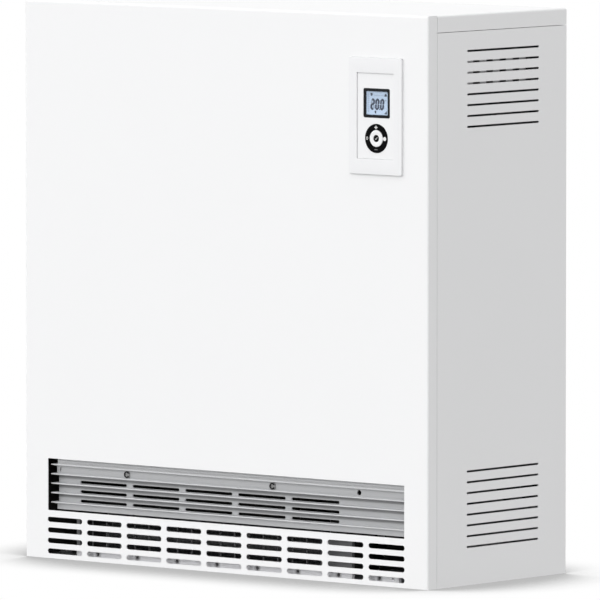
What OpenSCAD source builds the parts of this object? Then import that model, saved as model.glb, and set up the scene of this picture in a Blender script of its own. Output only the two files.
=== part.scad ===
// Fan-assisted night storage heater: a sheet-steel casing round an insulated stack of heat-storage
// bricks. Room air enters the slots low in the front panel, a cross-flow fan drives it through the
// brick channels, and it leaves through the louvred outlet above the slots.
// Frame: origin on the floor under the middle of the bounding box, front towards -Y, +X to the
// right as seen from the front. Depths are counted from the front face backwards, side distances
// from the left edge to the right.

/* [Casing] */
// Width over both side panels
body_w = 605; // [600:1:625]
// Depth from the front face to the wall
body_d = 250; // [248:1:270]
// Height from the floor to the top
body_h = 650; // [645:1:690]
// Thickness of the casing sheet
sheet = 1; // [0.8:0.1:1.2]
// Outside bend radius of the sheet edges
bend_r = 2.5; // [1.8:0.1:4]
// Depth of the front panel's side and top returns
return_d = 16; // [14:0.5:17]
// Visible seam between neighbouring panels
seam = 0.6; // [0.3:0.1:0.8]
// Height of the top cover's side and rear flanges
top_flange = 19.5; // [16:0.5:22]
// Width of the flanges turned inwards on the side panels
flange_w = 12; // [10:1:16]
// Height of the feet below the casing
foot_h = 3; // [2:0.5:4]
// Gap between the floor and the casing's lower edge
skirt_gap = 0.5; // [0.5:0.1:2]
// Radius of a foot's pad
foot_r = 12; // [8:1:16]
// Distance of a foot's centre from the casing's outer faces
foot_inset = 34; // [28:1:50]

/* [Air intake] */
// Slots side by side
slot_cols = 9; // [5:1:9]
// Slots above each other
slot_rows = 4; // [2:1:4]
// Length of a slot over its round ends
slot_len = 53.2; // [30:0.2:54]
// Height of a slot
slot_h = 6; // [4:0.2:7]
// Pitch of the slots sideways
slot_pitch_x = 60.5; // [56:0.05:62]
// Pitch of the slots upwards
slot_pitch_z = 12.3; // [10:0.1:12.6]
// Height of the lowest row's centre above the floor
slot_low_z = 8.9; // [8.5:0.1:10]

/* [Air outlet] */
// Width of the outlet opening
outlet_w = 536; // [520:1:545]
// Lower edge of the outlet opening
outlet_z0 = 56.5; // [56:0.5:59]
// Height of the outlet opening
outlet_h = 60.6; // [58:0.1:64]
// Depth of the grille's plate behind the front face
grille_y = 14; // [12.5:0.5:14.5]
// Thickness of the grille's plate
grille_t = 1.5; // [1.2:0.1:2]
// How far the grille's fins reach forward of its plate
fin_d = 9.5; // [6:0.5:10]
// Thickness of a fin
fin_t = 1.7; // [1.2:0.1:2.2]
// Pitch of the fins
fin_pitch = 11.05; // [10:0.05:11.4]
// How far the fins stand past the ends of the plate
fin_over = 4; // [0:0.5:5]
// Slots along the grille
vent_cols = 5; // [3:1:5]
// Length of a grille slot
vent_len = 71; // [50:1:76]
// Height of a grille slot
vent_h = 3.4; // [2:0.2:4]
// Pitch of the grille slots
vent_pitch = 80; // [78:0.5:82]
// Distance of the first grille slot from the left end of the outlet opening
vent_x = 38; // [25:1:45]
// Radius of a quarter-turn fastener's head
lock_r = 3.9; // [3:0.1:4.2]
// Radius of a quarter-turn fastener's shank
lock_shank_r = 2.4; // [2:0.1:2.6]

/* [Side louvres] */
// Slits in each of the two groups
louvre_rows = 8; // [4:1:8]
// Length of a slit
louvre_len = 130; // [90:1:150]
// Height of a slit
louvre_h = 2.4; // [1.6:0.2:4]
// Pitch of the slits
louvre_pitch = 12.3; // [10:0.1:13]
// Distance of the slits' front ends from the front face
louvre_y = 70; // [60:1:80]
// Height of the lower group's lowest slit
louvre_low_z = 44; // [40:1:60]
// Distance from the top of the casing to the upper group's highest slit
louvre_top = 42; // [38:1:60]

/* [Storage core] */
// Length of a storage brick
brick_w = 175; // [150:1:176]
// Depth of a storage brick
brick_d = 150; // [120:1:150]
// Height of a storage brick
brick_h = 110; // [80:1:110]
// Bricks side by side in a row
brick_cols = 2; // [1:1:2]
// Thickness of the insulation at the sides
ins_side = 40; // [25:1:42]
// Thickness of the insulation in front
ins_front = 25; // [15:1:26]
// Thickness of the insulation behind
ins_rear = 25; // [15:1:30]
// Thickness of the insulation below
ins_floor = 25; // [15:1:26]
// Thickness of the insulation above
ins_top = 34; // [20:1:36]
// Radius of a tubular heating element
element_r = 4.25; // [3:0.05:5]
// Distance between the two legs of an element
element_pitch = 44; // [34:1:50]

/* [Fan] */
// Radius of the cross-flow impeller
fan_r = 22; // [16:0.5:22.5]
// Length of the impeller
fan_len = 330; // [260:1:336]
// Blades round the impeller
fan_blades = 20; // [12:1:24]
// Radius of the fan shaft
shaft_r = 3; // [2.5:0.1:4]

/* [Controller] */
// Width of the raised bezel
bezel_w = 77.5; // [74:0.5:80]
// Height of the raised bezel
bezel_h = 132.5; // [128:0.5:140]
// How far the bezel stands out of the front face
bezel_proud = 3.2; // [2:0.1:4]
// Distance of the bezel's middle from the right edge
bezel_right = 75; // [70:0.25:82]
// Distance of the bezel's middle from the top
bezel_down = 115.4; // [100:0.2:140]
// Width of the recessed fascia
fascia_w = 54; // [50:0.5:56]
// Height of the recessed fascia
fascia_h = 97.4; // [94:0.2:100]
// Depth of the fascia's face below the bezel's
fascia_sink = 1.6; // [1:0.1:1.8]
// Width of the display's black frame
display_w = 38.8; // [34:0.2:40]
// Height of the display's black frame
display_h = 33.5; // [30:0.5:35]
// Width of the black frame's border
display_border = 3.3; // [2:0.1:4]
// Outer radius of the ring of keys
ring_r = 16.4; // [14:0.1:17]
// Inner radius of the ring of keys
ring_in_r = 9.7; // [8:0.1:10]
// Travel of a key
key_travel = 0.8; // [0.4:0.1:1]

/* [Fits] */
// Clearance between a piece and its seat
seat = 0.3; // [0.2:0.05:0.4]
// Radial clearance of a turning or sliding pin in its bore
running = 0.06; // [0.02:0.01:0.1]
// Radius of the holes for the wall screws
wall_hole_r = 4.5; // [3:0.5:6]
// Distance between the wall screws, side to side
wall_pitch_x = 400; // [300:5:420]
// Distance between the wall screws, upwards
wall_pitch_z = 380; // [300:5:420]
// Radius of the cable's way through a grommet
cable_r = 6; // [4:0.5:7]

/* [Hidden] */

$fn = 48;
eps = 0.01;
half_w = body_w / 2;
// The bezel stands forward of the front face, so the face lies behind the middle of the box by half.
front_y = -(body_d - bezel_proud) / 2;
floor_top = foot_h + sheet;
foot_stem_r = 4;
foot_edge = 0.6;
foot_stem_h = 9;
foot_nut_r = 7.6;
foot_nut_h = 5;
pan_h = 22;
rear_edge = 10;
panel_top = body_h - top_flange;
side_y0 = return_d + seam;
cover_in = body_h - sheet;

// Inner carcass: a jacket of left wall, rear wall and right wall round the core.
jacket_gap = 14;
jacket_x0 = sheet + jacket_gap;
core_x0 = jacket_x0 + sheet + ins_side + seat;
core_w = brick_cols * brick_w;
core_x1 = core_x0 + core_w;
jacket_x1 = core_x1 + seat + ins_side + sheet;
wall_y = side_y0 + sheet + seat;
core_y0 = wall_y + sheet + 2 * seat + ins_front;
core_y1 = core_y0 + brick_d;
jacket_y1 = core_y1 + 2 * seat + ins_rear + sheet;
// Plate that carries the bricks. The top row's bricks fill what the lid and its insulation leave.
plate_t = 1.5;
plate_z = 122;
core_z0 = plate_z + plate_t + ins_floor;
brick_rows = 4;
lid_gap = 25.2;
lid_z = cover_in - lid_gap - sheet;
core_z1 = lid_z - seat - ins_top;
top_brick_h = core_z1 - core_z0 - (brick_rows - 1) * brick_h;
turn_h = 14;
lid_hole_r = 6;
lid_hole_x = 120;
bay_x0 = jacket_x1;

// Air channels through the bricks, and the matching ways through the floor under them.
channel_w = 38;
channel_d = 12;
channel_inset = 12;
channel_y_front = core_y0 + channel_inset + channel_d / 2;
channel_y_rear = core_y1 - channel_inset - channel_d / 2;
channels = 3;
way_over = 8;
way_d = channel_d + way_over;
way_inset = 12;

// Outlet grille: fins counted downwards from the one under the fine ribs.
outlet_x0 = (body_w - outlet_w) / 2;
grille_end = 5;
grille_x0 = outlet_x0 + grille_end;
grille_w = outlet_w - 2 * grille_end;
grille_foot = 0.9;
grille_rise = 2;
grille_z0 = outlet_z0 + grille_foot;
grille_z1 = outlet_z0 + outlet_h + grille_rise;
apron_proud = 2.8;
apron_h = 1.2;
fin_count = 5;
fin_fillet = 1.2;
fin_top = 53.2;
fin_top_z = outlet_z0 + fin_top;
fin_zs = [for (i = [0 : fin_count - 1]) fin_top_z - i * fin_pitch];
vent_over_fin = 0.2;
vent_zs = [for (i = [2 : fin_count - 1]) fin_zs[i] + fin_t / 2 + vent_h / 2 + vent_over_fin];
rib_r = 0.5;
rib_pitch = 2.6;
// Brow over the uppermost fin, with the fine ribs on its face.
brow_proud = 9;
brow_end = 6;
rib_zs = [for (i = [1 : 2]) fin_top_z + i * rib_pitch];
lock_drop = 0.4;
lock_z = fin_top_z - fin_pitch / 2 - lock_drop;
lock_left = 113.3;
lock_right = 333.3;
lock_xs = [outlet_x0 + lock_left, outlet_x0 + lock_right];
lock_head_t = 1.4;
// Raised flat between the two uppermost fins: it carries the fasteners.
flat_proud = 3.5;
flat_y = grille_y - flat_proud;
// Depth of each fin's root, counted forward from the plate's back.
fin_root_ys = [for (i = [0 : fin_count - 1]) grille_t + (i == 0 ? flat_proud
    : i == fin_count - 1 ? apron_proud : 0)];
end_slot_x = 4.9;
end_slot_w = 1.4;
end_slot_h = 5;
driver_slot_w = 1;
driver_slot_d = 0.8;
grille_hole_inset = 74.8;
grille_hole_x = outlet_x0 + outlet_w - grille_hole_inset;
grille_hole_r = 3;
strip_gap = 3;
strip_y = grille_y + grille_t + seat;
wing_l = 14;
wing_w = 4;
wing_t = 1.5;
wing_y = strip_y + sheet + seat;

// Fan, its housing and the duct above it.
fan_y = 95;
fan_z = 36;
fan_inset = 14;
fan_x0 = core_x0 + fan_inset;
blade_l = 7;
blade_t = 0.8;
blade_angle = 35;
blade_inset = 6.2;
disc_t = 1;
fan_hub_l = 8;
fan_hub_t = 3;
shaft_out_left = 8;
shaft_out_right = 20;
scroll_gap = 3;
scroll_r = fan_r + scroll_gap;
scroll_t = 1.2;
scroll_back = 70;
lip_y = 14;
lip_l = 38;
end_gap = 3;
end_t = 1.5;
fan_end_x = fan_x0 + fan_len + end_gap;
motor_r = 23;
motor_l = 30;
motor_boss_l = 5;
motor_foot_w = 16;
motor_gap = 2;
bearing_r = 8;
bearing_rim = 3;
duct_z0 = 65;
duct_rear = 40;
duct_side = 4;
duct_y1 = core_y0 + channel_inset + way_d + duct_rear;
duct_x0 = core_x0 + duct_side;
duct_x1 = core_x1 - duct_side;
flap_inset = 12;
flap_drop = 9;
flap_y = duct_y1 - flap_inset;
flap_z = plate_z - flap_drop;
flap_len = flap_y - channel_y_front + way_d / 2;
flap_t = 1.5;
flap_gap = 2;
flap_shaft_r = 2.5;
flap_hub_t = 1.5;
lever_gap = 4;
lever_x = bay_x0 + lever_gap;
lever_len = 26;
lever_t = 3;
lever_hub_l = 6;
lever_w = 11;
strip_t = 1.2;
strip_w = 7;
strip_over = 30;
strip_foot = 16;
strip_block_t = 8;

// Lint filter behind the intake slots.
filter_inset = 35.5;
filter_w = 415.5;
filter_x0 = outlet_x0 + filter_inset;
filter_x1 = filter_x0 + filter_w;
filter_t = 4.4;
mesh_t = 0.8;
filter_y = return_d - filter_t - mesh_t - 2 * seat;
filter_z0 = skirt_gap + sheet + seat;
filter_over = 4;
filter_z1 = slot_low_z + (slot_rows - 1) * slot_pitch_z + slot_h / 2 + filter_over;
filter_rail = 11.4;
filter_top_rail = 4;
filter_end_w = 5;
filter_rib_w = 0.8;
filter_rib_d = 2;
filter_rib_pitch = 21.6;
filter_pad_w = 33;
filter_pad_end = 5;
filter_pad_x = filter_x1 - filter_pad_end - filter_pad_w;
filter_pad_t = 2;
// Grip at the rail's right end, by which the filter is drawn out.
grip_gap = 25;
grip_w = 44;
grip_neck = 2.4;
grip_hole_end = 8.5;
// Gussets at the ribs' feet and drain holes in the lower rail, one behind each intake slot.
gusset_w = 2.6;
gusset_h = 4;
drain_r = 2.2;
drain_x = 8;
slot_x0 = body_w / 2 - (slot_cols - 1) / 2 * slot_pitch_x;

// Controller in the front panel.
bezel_x = body_w - bezel_right;
bezel_z = body_h - bezel_down;
fascia_y = -bezel_proud + fascia_sink;
fascia_t = 2.4;
bezel_corner = 2;
bezel_edge = 0.6;
collar = 4;
bezel_back = 4;
flange_y = fascia_y + fascia_t;
flange_t = 0.8;
rim_t = 3;
flange_size_w = bezel_w - 2 * (collar + rim_t);
flange_size_h = bezel_h - 2 * (collar + rim_t);
key_face = 0.5;
key_flange = 0.8;
key_gap = 0.2;
ring_z = bezel_z - 25.3;
display_z = bezel_z + 14.7;
display_x = bezel_x + 1.05;
ring_x = bezel_x + 0.95;
window_w = display_w - 2 * display_border;
window_h = display_h - 2 * display_border;
frame_proud = 0.2;
frame_t = 2.4;
frame_corner = 1.8;
glass_sink = 0.2;
glass_t = 0.8;
panel_sink = 1.3;
panel_t = 1.2;
panel_edge = 2;
board_y = 6.4;
stem_r = 1.4;
switch_r = 2;
switch_h = 1;
board_t = 1.6;
plug_w = 40;
plug_h = 20;
plug_t = 8;
plug_drop = 50;
switch_ring = (ring_r + ring_in_r) / 2;
key_back = flange_y + flange_t + seat + key_flange;
stem_end = board_y - switch_h - key_travel - seat;

// The six element legs, two for each of the three elements, cross the side insulation.
element_count = 3;
element_y = (core_y0 + core_y1) / 2;
element_zs = [for (i = [1 : element_count]) core_z0 + i * brick_h];
element_inset = 16;
element_x0 = core_x0 + element_inset;
element_out = 16;
element_x1 = bay_x0 + element_out;
stud_l = 13;
groove_r = element_r + 1.2;
bush_r = element_r + 3;
bush_l = 10;
bush_rim = 2;
bush_rim_l = 4;
sensor_z = core_z0 + 1.5 * brick_h;
sensor_r = 3;
sensor_out = 8;
sensor_head_t = 3;
sensor_head_l = 5;
limiter_z = core_z0 + 2.5 * brick_h;
limiter_r = 12.5;
limiter_l = 18;
limiter_x = bay_x0 + seat;
ear_w = 44;
ear_h = 12;
ear_t = 2;
tab_y = 12;
tab_x = 6;
tab_w = 6;
tab_t = 1;
tab_h = 20;
button_r = 3.2;
button_l = 8;
button_deep = 7;
button_travel = 2;

// Holes in the rear panel.
rear_y = body_d - 2 * sheet - seat;
wall_z = 330;
grommet_right = 50;
grommet_pitch = 35;
grommet_xs = [body_w - grommet_right - grommet_pitch, body_w - grommet_right];
grommet_z = 92;
grommet_r = cable_r + 4;
grommet_flange = 3;
grommet_rim = 2.5;
grommet_lip = 1.5;
grommet_lip_t = 0.8;

// Screws that hold the side panels and the top cover, hidden behind the front panel.
screw_r = 2;
screw_head_r = 3.8;
screw_head_h = 2.2;
screw_l = 8;
screw_zs = [150, 380, panel_top - 40];
screw_inset = sheet + flange_w / 2;

// Slotted sheet behind the upper louvres.
baffle_inset = 12;
baffle_top = 49;
baffle_h = 37;
baffle_over = 8;
baffle_x = body_w - baffle_inset;
baffle_z1 = body_h - baffle_top;
baffle_z0 = baffle_z1 - baffle_h;
baffle_y0 = louvre_y - baffle_over;
baffle_y1 = louvre_y + louvre_len + baffle_over + 2;
baffle_count = 5;
baffle_first = 24;
baffle_pitch = 23.8;
baffle_slot = 11.8;
baffle_edge = 4;

// Plate that carries the switchgear, on four stand-offs on the jacket's wall.
plate_gap = 10;
plate_shift = 15.5;
plate_y0 = core_y0 + plate_shift;
plate_y1 = core_y1 + plate_shift;
control_z0 = 150;
control_h = 90;
standoff_r = 4;
standoff_inset = 12;
relay_x = bay_x0 + plate_gap + sheet + seat;
relay_y = 8;
relay_z = 20;
relay_d = 44;
relay_h = 60;
relay_w = 38;
coil_inset = 6;
coil_w = 10;
board_gap = 6;
board_start = 60;
board_y0 = plate_y0 + board_start;
board_inset = 6;
chip_y = 10;
chip_z = 16;
chip_d = 24;
chip_h = 30;
chip_w = 16;
coil_r = 8;
coil_y = 52;
coil_z = 54;
coil_l = 22;
pillar_r = 2.5;

// Mains terminals near the cable's way in.
terminal_ways = 6;
terminal_way = 12;
terminal_w = 26;
terminal_h = 34;
terminal_right = 44;
terminal_gap = 4;
terminal_screw_r = 3.2;
terminal_screw_deep = 12;
terminal_slot = 6;
terminal_slot_z = 8;

// Everything is written with y counted from the front face and x from the left edge.
module placed() {
    translate([-half_w, front_y, 0]) children();
}

module block(lo, hi) {
    translate(lo) cube(hi - lo);
}

// Cylinder along +Y that starts at the point given.
module rod_y(at, r, l) {
    translate(at) rotate([-90, 0, 0]) cylinder(r = r, h = l);
}

// Cylinder along +X that starts at the point given.
module rod_x(at, r, l) {
    translate(at) rotate([0, 90, 0]) cylinder(r = r, h = l);
}

// Slot with round ends, cut along Y; the point given is its middle.
module slot_y(at, l, h, deep) {
    r = h / 2;
    block([at[0] - l / 2 + r, at[1], at[2] - r], [at[0] + l / 2 - r, at[1] + deep, at[2] + r]);
    for (side = [-1, 1]) rod_y([at[0] + side * (l / 2 - r), at[1], at[2]], r, deep);
}

// Slot with round ends, cut along X, running along Y; the point given is its front end.
module slot_x(at, l, h, deep) {
    r = h / 2;
    block([at[0], at[1] + r, at[2] - r], [at[0] + deep, at[1] + l - r, at[2] + r]);
    for (y = [r, l - r]) rod_x([at[0], at[1] + y, at[2]], r, deep);
}

// Flat rectangle with its four corners rounded.
module rounded_rect(w, h, r) {
    square([w, h - 2 * r], center = true);
    square([w - 2 * r, h], center = true);
    for (x = [-1, 1], z = [-1, 1]) translate([x * (w / 2 - r), z * (h / 2 - r)]) circle(r);
}

// The rectangle above as a plate facing the front, its face at depth y.
module rounded_plate(x, z, y, w, h, r, t) {
    translate([x, y + t, z]) rotate([90, 0, 0]) linear_extrude(t) rounded_rect(w, h, r);
}

// Plan of the front panel with both front corners rounded.
module front_plan(x0, x1, y0, y1, r) {
    translate([x0, y0 + r]) square([x1 - x0, y1 - y0 - r]);
    translate([x0 + r, y0]) square([x1 - x0 - 2 * r, r + eps]);
    for (x = [x0 + r, x1 - r]) translate([x, y0 + r]) circle(r);
}

// Solid of the front panel's outline: rounded along both sides and along the top.
module front_form(inset, y1) {
    r = bend_r - inset;
    z0 = skirt_gap + inset;
    z1 = body_h - inset;
    intersection() {
        translate([0, 0, z0]) linear_extrude(z1 - z0)
            front_plan(inset, body_w - inset, inset, y1, r);
        translate([body_w, 0, 0]) rotate([90, 0, -90]) linear_extrude(body_w) {
            translate([-y1, z0]) square([y1 - inset - r, z1 - z0]);
            translate([-y1, z0]) square([y1 - inset, z1 - z0 - r]);
            translate([-inset - r, z1 - r]) circle(r);
        }
    }
}

module front_panel() {
    color("white") placed() difference() {
        front_form(0, return_d);
        front_form(sheet, return_d + 1);
        block([outlet_x0, -1, outlet_z0], [outlet_x0 + outlet_w, sheet + 1, outlet_z0 + outlet_h]);
        for (i = [0 : slot_cols - 1], k = [0 : slot_rows - 1])
            slot_y([slot_x0 + i * slot_pitch_x, -1, slot_low_z + k * slot_pitch_z],
                slot_len, slot_h, sheet + 2);
        block([bezel_x - bezel_w / 2 + collar, -1, bezel_z - bezel_h / 2 + collar],
            [bezel_x + bezel_w / 2 - collar, sheet + 1, bezel_z + bezel_h / 2 - collar]);
    }
}

module top_cover() {
    color("white") placed() difference() {
        // Rounded along the sides and the rear.
        intersection() {
            block([0, side_y0, panel_top + seam / 2], [body_w, body_d, body_h]);
            translate([0, body_d, 0]) rotate([90, 0, 0]) linear_extrude(body_d)
                cover_section(0, body_w, panel_top - 1, body_h, bend_r, true);
            rotate([90, 0, 90]) linear_extrude(body_w)
                cover_section(0, body_d, panel_top - 1, body_h, bend_r, false);
        }
        block([sheet, side_y0 + sheet, panel_top - 1], [body_w - sheet, body_d - sheet, cover_in]);
    }
}

// Section of the top cover: a block with its upper corners rounded, both of them or the far one.
module cover_section(x0, x1, z0, z1, r, both) {
    near = both ? r : 0;
    translate([x0, z0]) square([x1 - x0, z1 - z0 - r]);
    translate([x0 + near, z0]) square([x1 - x0 - near - r, z1 - z0]);
    for (x = both ? [x0 + r, x1 - r] : [x1 - r]) translate([x, z1 - r]) circle(r);
}

// Side panel for the left: outer sheet with flanges turned in at the front, rear and top.
module side_shell() {
    z1 = panel_top - seam / 2;
    difference() {
        block([0, side_y0, skirt_gap], [flange_w, body_d, z1]);
        block([sheet, side_y0 + sheet, skirt_gap - 1], [flange_w + 1, body_d - sheet, z1 - sheet]);
    }
}

// Holes in a side panel's front flange for its screws.
module flange_holes(x) {
    for (z = screw_zs) rod_y([x, side_y0 - 1, z], screw_r + seat, sheet + 2);
}

module left_panel() {
    color("white") placed() difference() {
        side_shell();
        flange_holes(screw_inset);
    }
}

module right_panel() {
    color("white") placed() difference() {
        translate([body_w, 0, 0]) mirror([1, 0, 0]) side_shell();
        flange_holes(body_w - screw_inset);
        for (i = [0 : louvre_rows - 1], z = [louvre_low_z, body_h - louvre_top])
            slot_x([body_w - sheet - 1, louvre_y,
                z == louvre_low_z ? z + i * louvre_pitch : z - i * louvre_pitch],
                louvre_len, louvre_h, sheet + 2);
    }
}

module rear_panel() {
    edge = sheet + seat;
    z0 = floor_top + seat;
    z1 = panel_top - seam / 2 - sheet - seat;
    color("gainsboro") placed() difference() {
        block([edge, rear_y - rear_edge, z0], [body_w - edge, rear_y + sheet, z1]);
        block([edge + sheet, rear_y - rear_edge - 1, z0 + sheet],
            [body_w - edge - sheet, rear_y, z1 - sheet]);
        for (x = [-1, 1], z = [-1, 1])
            rod_y([body_w / 2 + x * wall_pitch_x / 2, rear_y - 1, wall_z + z * wall_pitch_z / 2],
                wall_hole_r, sheet + 2);
        for (x = grommet_xs) rod_y([x, rear_y - 1, grommet_z], grommet_r, sheet + 2);
    }
}

module foot_places() {
    for (x = [foot_inset, body_w - foot_inset], y = [foot_inset, body_d - foot_inset])
        translate([x, y, 0]) children();
}

module base_pan() {
    edge = sheet + seat;
    y1 = rear_y - rear_edge - seat;
    color("silver") placed() difference() {
        block([edge, wall_y, foot_h], [body_w - edge, y1, foot_h + pan_h]);
        block([edge + sheet, wall_y - 1, floor_top],
            [body_w - edge - sheet, y1 - sheet, foot_h + pan_h + 1]);
        foot_places() translate([0, 0, foot_h - 1]) cylinder(r = foot_stem_r + seat, h = sheet + 2);
    }
}

module feet() {
    color("dimgray") placed() foot_places() {
        cylinder(r1 = foot_r - foot_edge, r2 = foot_r, h = foot_edge);
        translate([0, 0, foot_edge]) cylinder(r = foot_r, h = foot_h - foot_edge);
        cylinder(r = foot_stem_r, h = foot_h + foot_stem_h);
        // Lock nut above the pan.
        translate([0, 0, floor_top + seat]) cylinder(r = foot_nut_r, h = foot_nut_h, $fn = 6);
    }
}

// Pan-head screw that points backwards, its head in front of the sheet.
module screw(x, z) {
    rod_y([x, side_y0, z], screw_r, screw_l);
    rod_y([x, side_y0 - screw_head_h, z], screw_head_r, screw_head_h);
}

module case_screws() {
    color("silver") placed() {
        for (x = [screw_inset, body_w - screw_inset], z = screw_zs) screw(x, z);
    }
}

// Ways for the element legs and the sensor through the right wall and its insulation.
module leg_holes(x, l, r) {
    for (z = element_zs, s = [-1, 1]) rod_x([x, element_y + s * element_pitch / 2, z], r, l);
}

module core_jacket() {
    color("lightgray") placed() difference() {
        union() {
            difference() {
                block([jacket_x0, wall_y + sheet + seat, floor_top], [jacket_x1, jacket_y1, lid_z]);
                block([jacket_x0 + sheet, wall_y, floor_top - 1],
                    [jacket_x1 - sheet, jacket_y1 - sheet, lid_z + 1]);
            }
            block([jacket_x0 + sheet - eps, wall_y + sheet + seat, plate_z],
                [jacket_x1 - sheet + eps, jacket_y1 - sheet + eps, plate_z + plate_t]);
        }
        floor_ways(plate_z - 1, plate_t + 2);
        leg_holes(jacket_x1 - sheet - 1, sheet + 2, bush_r);
        rod_x([jacket_x1 - sheet - 1, element_y, sensor_z], sensor_r + seat, sheet + 2);
        rod_x([jacket_x1 - sheet - 1, flap_y, flap_z], flap_shaft_r + 2, sheet + 2);
        // Notches round the feet's lock nuts and threads.
        foot_places() translate([0, 0, floor_top - 1])
            cylinder(r = foot_nut_r + motor_gap, h = foot_stem_h + 2);
        // Cut-out round the fan motor and its foot, through which it is cooled and taken out.
        rod_x([jacket_x1 - sheet - 1, fan_y, fan_z], motor_r + motor_gap, sheet + 2);
        block([jacket_x1 - sheet - 1, fan_y - motor_foot_w / 2 - motor_gap, floor_top - 1],
            [jacket_x1 + 1, fan_y + motor_foot_w / 2 + motor_gap, fan_z]);
    }
}

// Openings in the floor for the air: up at the rear, down at the front.
module floor_ways(z, h) {
    for (y = [channel_y_front, channel_y_rear])
        block([core_x0 + way_inset, y - way_d / 2, z], [core_x1 - way_inset, y + way_d / 2, z + h]);
}

module inner_front_wall() {
    edge = sheet + seat;
    color("lightgray") placed() difference() {
        block([edge, wall_y, plate_z], [body_w - edge, wall_y + sheet, panel_top - 2]);
        // Way for the controller's back and for reaching the wiring bay.
        block([bay_x0 + 20, wall_y - 1, 180], [body_w - 24, wall_y + sheet + 1, panel_top - 16]);
        for (x = [screw_inset, body_w - screw_inset], z = screw_zs)
            rod_y([x, wall_y - 1, z], screw_r + seat, sheet + 2);
    }
}

module core_lid() {
    color("lightgray") placed() difference() {
        block([jacket_x0, wall_y + sheet + seat, lid_z], [jacket_x1, jacket_y1, lid_z + sheet]);
        for (x = [-1, 1])
            translate([(jacket_x0 + jacket_x1) / 2 + x * lid_hole_x, element_y, lid_z - 1])
                cylinder(r = lid_hole_r, h = sheet + 2);
    }
}

module insulation_floor() {
    color("wheat") placed() difference() {
        block([jacket_x0 + sheet + seat, wall_y + sheet + seat, plate_z + plate_t],
            [jacket_x1 - sheet - seat, jacket_y1 - sheet - seat, core_z0]);
        floor_ways(core_z0 - ins_floor - 1, ins_floor + 2);
    }
}

module insulation_rear() {
    color("wheat") placed()
        block([jacket_x0 + sheet + seat, core_y1 + seat, core_z0],
            [jacket_x1 - sheet - seat, core_y1 + seat + ins_rear, core_z1]);
}

module insulation_front() {
    color("wheat") placed()
        block([jacket_x0 + sheet + seat, core_y0 - seat - ins_front, core_z0],
            [jacket_x1 - sheet - seat, core_y0 - seat, core_z1]);
}

module insulation_left() {
    color("wheat") placed()
        block([core_x0 - ins_side, core_y0, core_z0], [core_x0 - seat, core_y1, core_z1]);
}

module insulation_right() {
    color("wheat") placed() difference() {
        block([core_x1 + seat, core_y0, core_z0], [core_x1 + ins_side, core_y1, core_z1]);
        leg_holes(core_x1, ins_side + 1, groove_r);
        rod_x([core_x1, element_y, sensor_z], sensor_r + seat, ins_side + 1);
    }
}

module insulation_top() {
    color("wheat") placed()
        block([jacket_x0 + sheet + seat, wall_y + sheet + seat, core_z1],
            [jacket_x1 - sheet - seat, jacket_y1 - sheet - seat, core_z1 + ins_top]);
}

// One storage brick: upright air channels front and rear, and half grooves for the element legs.
module brick(h, groove_below, groove_above, turn_above) {
    difference() {
        block([seat / 2, 0, 0], [brick_w - seat / 2, brick_d, h]);
        for (i = [0 : channels - 1], y = [channel_inset, brick_d - channel_inset - channel_d])
            translate([brick_w * (i + 0.5) / channels - channel_w / 2, y, -1])
                cube([channel_w, channel_d, h + 2]);
        for (z = concat(groove_below ? [0] : [], groove_above ? [h] : []), s = [-1, 1])
            rod_x([-1, brick_d / 2 + s * element_pitch / 2, z], groove_r, brick_w + 2);
        // Under the lid the air turns from the rear channels to the front ones.
        if (turn_above)
            for (i = [0 : channels - 1])
                block([brick_w * (i + 0.5) / channels - channel_w / 2, channel_inset, h - turn_h],
                    [brick_w * (i + 0.5) / channels + channel_w / 2, brick_d - channel_inset, h + 1]);
    }
}

module brick_row(k) {
    h = k < brick_rows ? brick_h : top_brick_h;
    color("sienna") placed()
        for (i = [0 : brick_cols - 1])
            translate([core_x0 + i * brick_w, core_y0, core_z0 + (k - 1) * brick_h])
                difference() {
                    brick(h, k > 1, k < brick_rows, k == brick_rows);
                    // The element's bend needs room at the left end.
                    if (i == 0)
                        for (z = concat(k > 1 ? [0] : [], k < brick_rows ? [h] : []))
                            translate([element_x0 - core_x0 + element_pitch / 2, brick_d / 2, z])
                                bend_room();
                }
}

module brick_row_1() { brick_row(1); }
module brick_row_2() { brick_row(2); }
module brick_row_3() { brick_row(3); }
module brick_row_4() { brick_row(4); }

// Round hollow along the element's bend.
module bend_room() {
    rotate_extrude() translate([element_pitch / 2, 0]) circle(groove_r);
}

// Hairpin element: two legs along X joined by a half turn at the left.
module heating_element(i) {
    r = element_pitch / 2;
    color("dimgray") placed() translate([element_x0 + r, element_y, element_zs[i]]) {
        rotate([0, 0, 90]) rotate_extrude(angle = 180) translate([r, 0]) circle(element_r);
        for (s = [-1, 1]) {
            rod_x([-eps, s * r, 0], element_r, element_x1 - element_x0 - r);
            // Threaded terminal stud.
            rod_x([element_x1 - element_x0 - r - 1, s * r, 0], element_r / 2, stud_l + 1);
        }
    }
}

module heating_element_1() { heating_element(0); }
module heating_element_2() { heating_element(1); }
module heating_element_3() { heating_element(2); }

// Ceramic bush round each leg where it leaves the jacket.
module element_bushes() {
    color("ivory") placed() for (z = element_zs, s = [-1, 1])
        translate([0, element_y + s * element_pitch / 2, z]) difference() {
            union() {
                rod_x([jacket_x1 - sheet, 0, 0], bush_r - seat, bush_l);
                rod_x([jacket_x1 + seat / 2, 0, 0], bush_r + bush_rim, bush_rim_l);
            }
            rod_x([jacket_x1 - sheet - 1, 0, 0], element_r + seat, bush_l + 2);
        }
}

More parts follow.
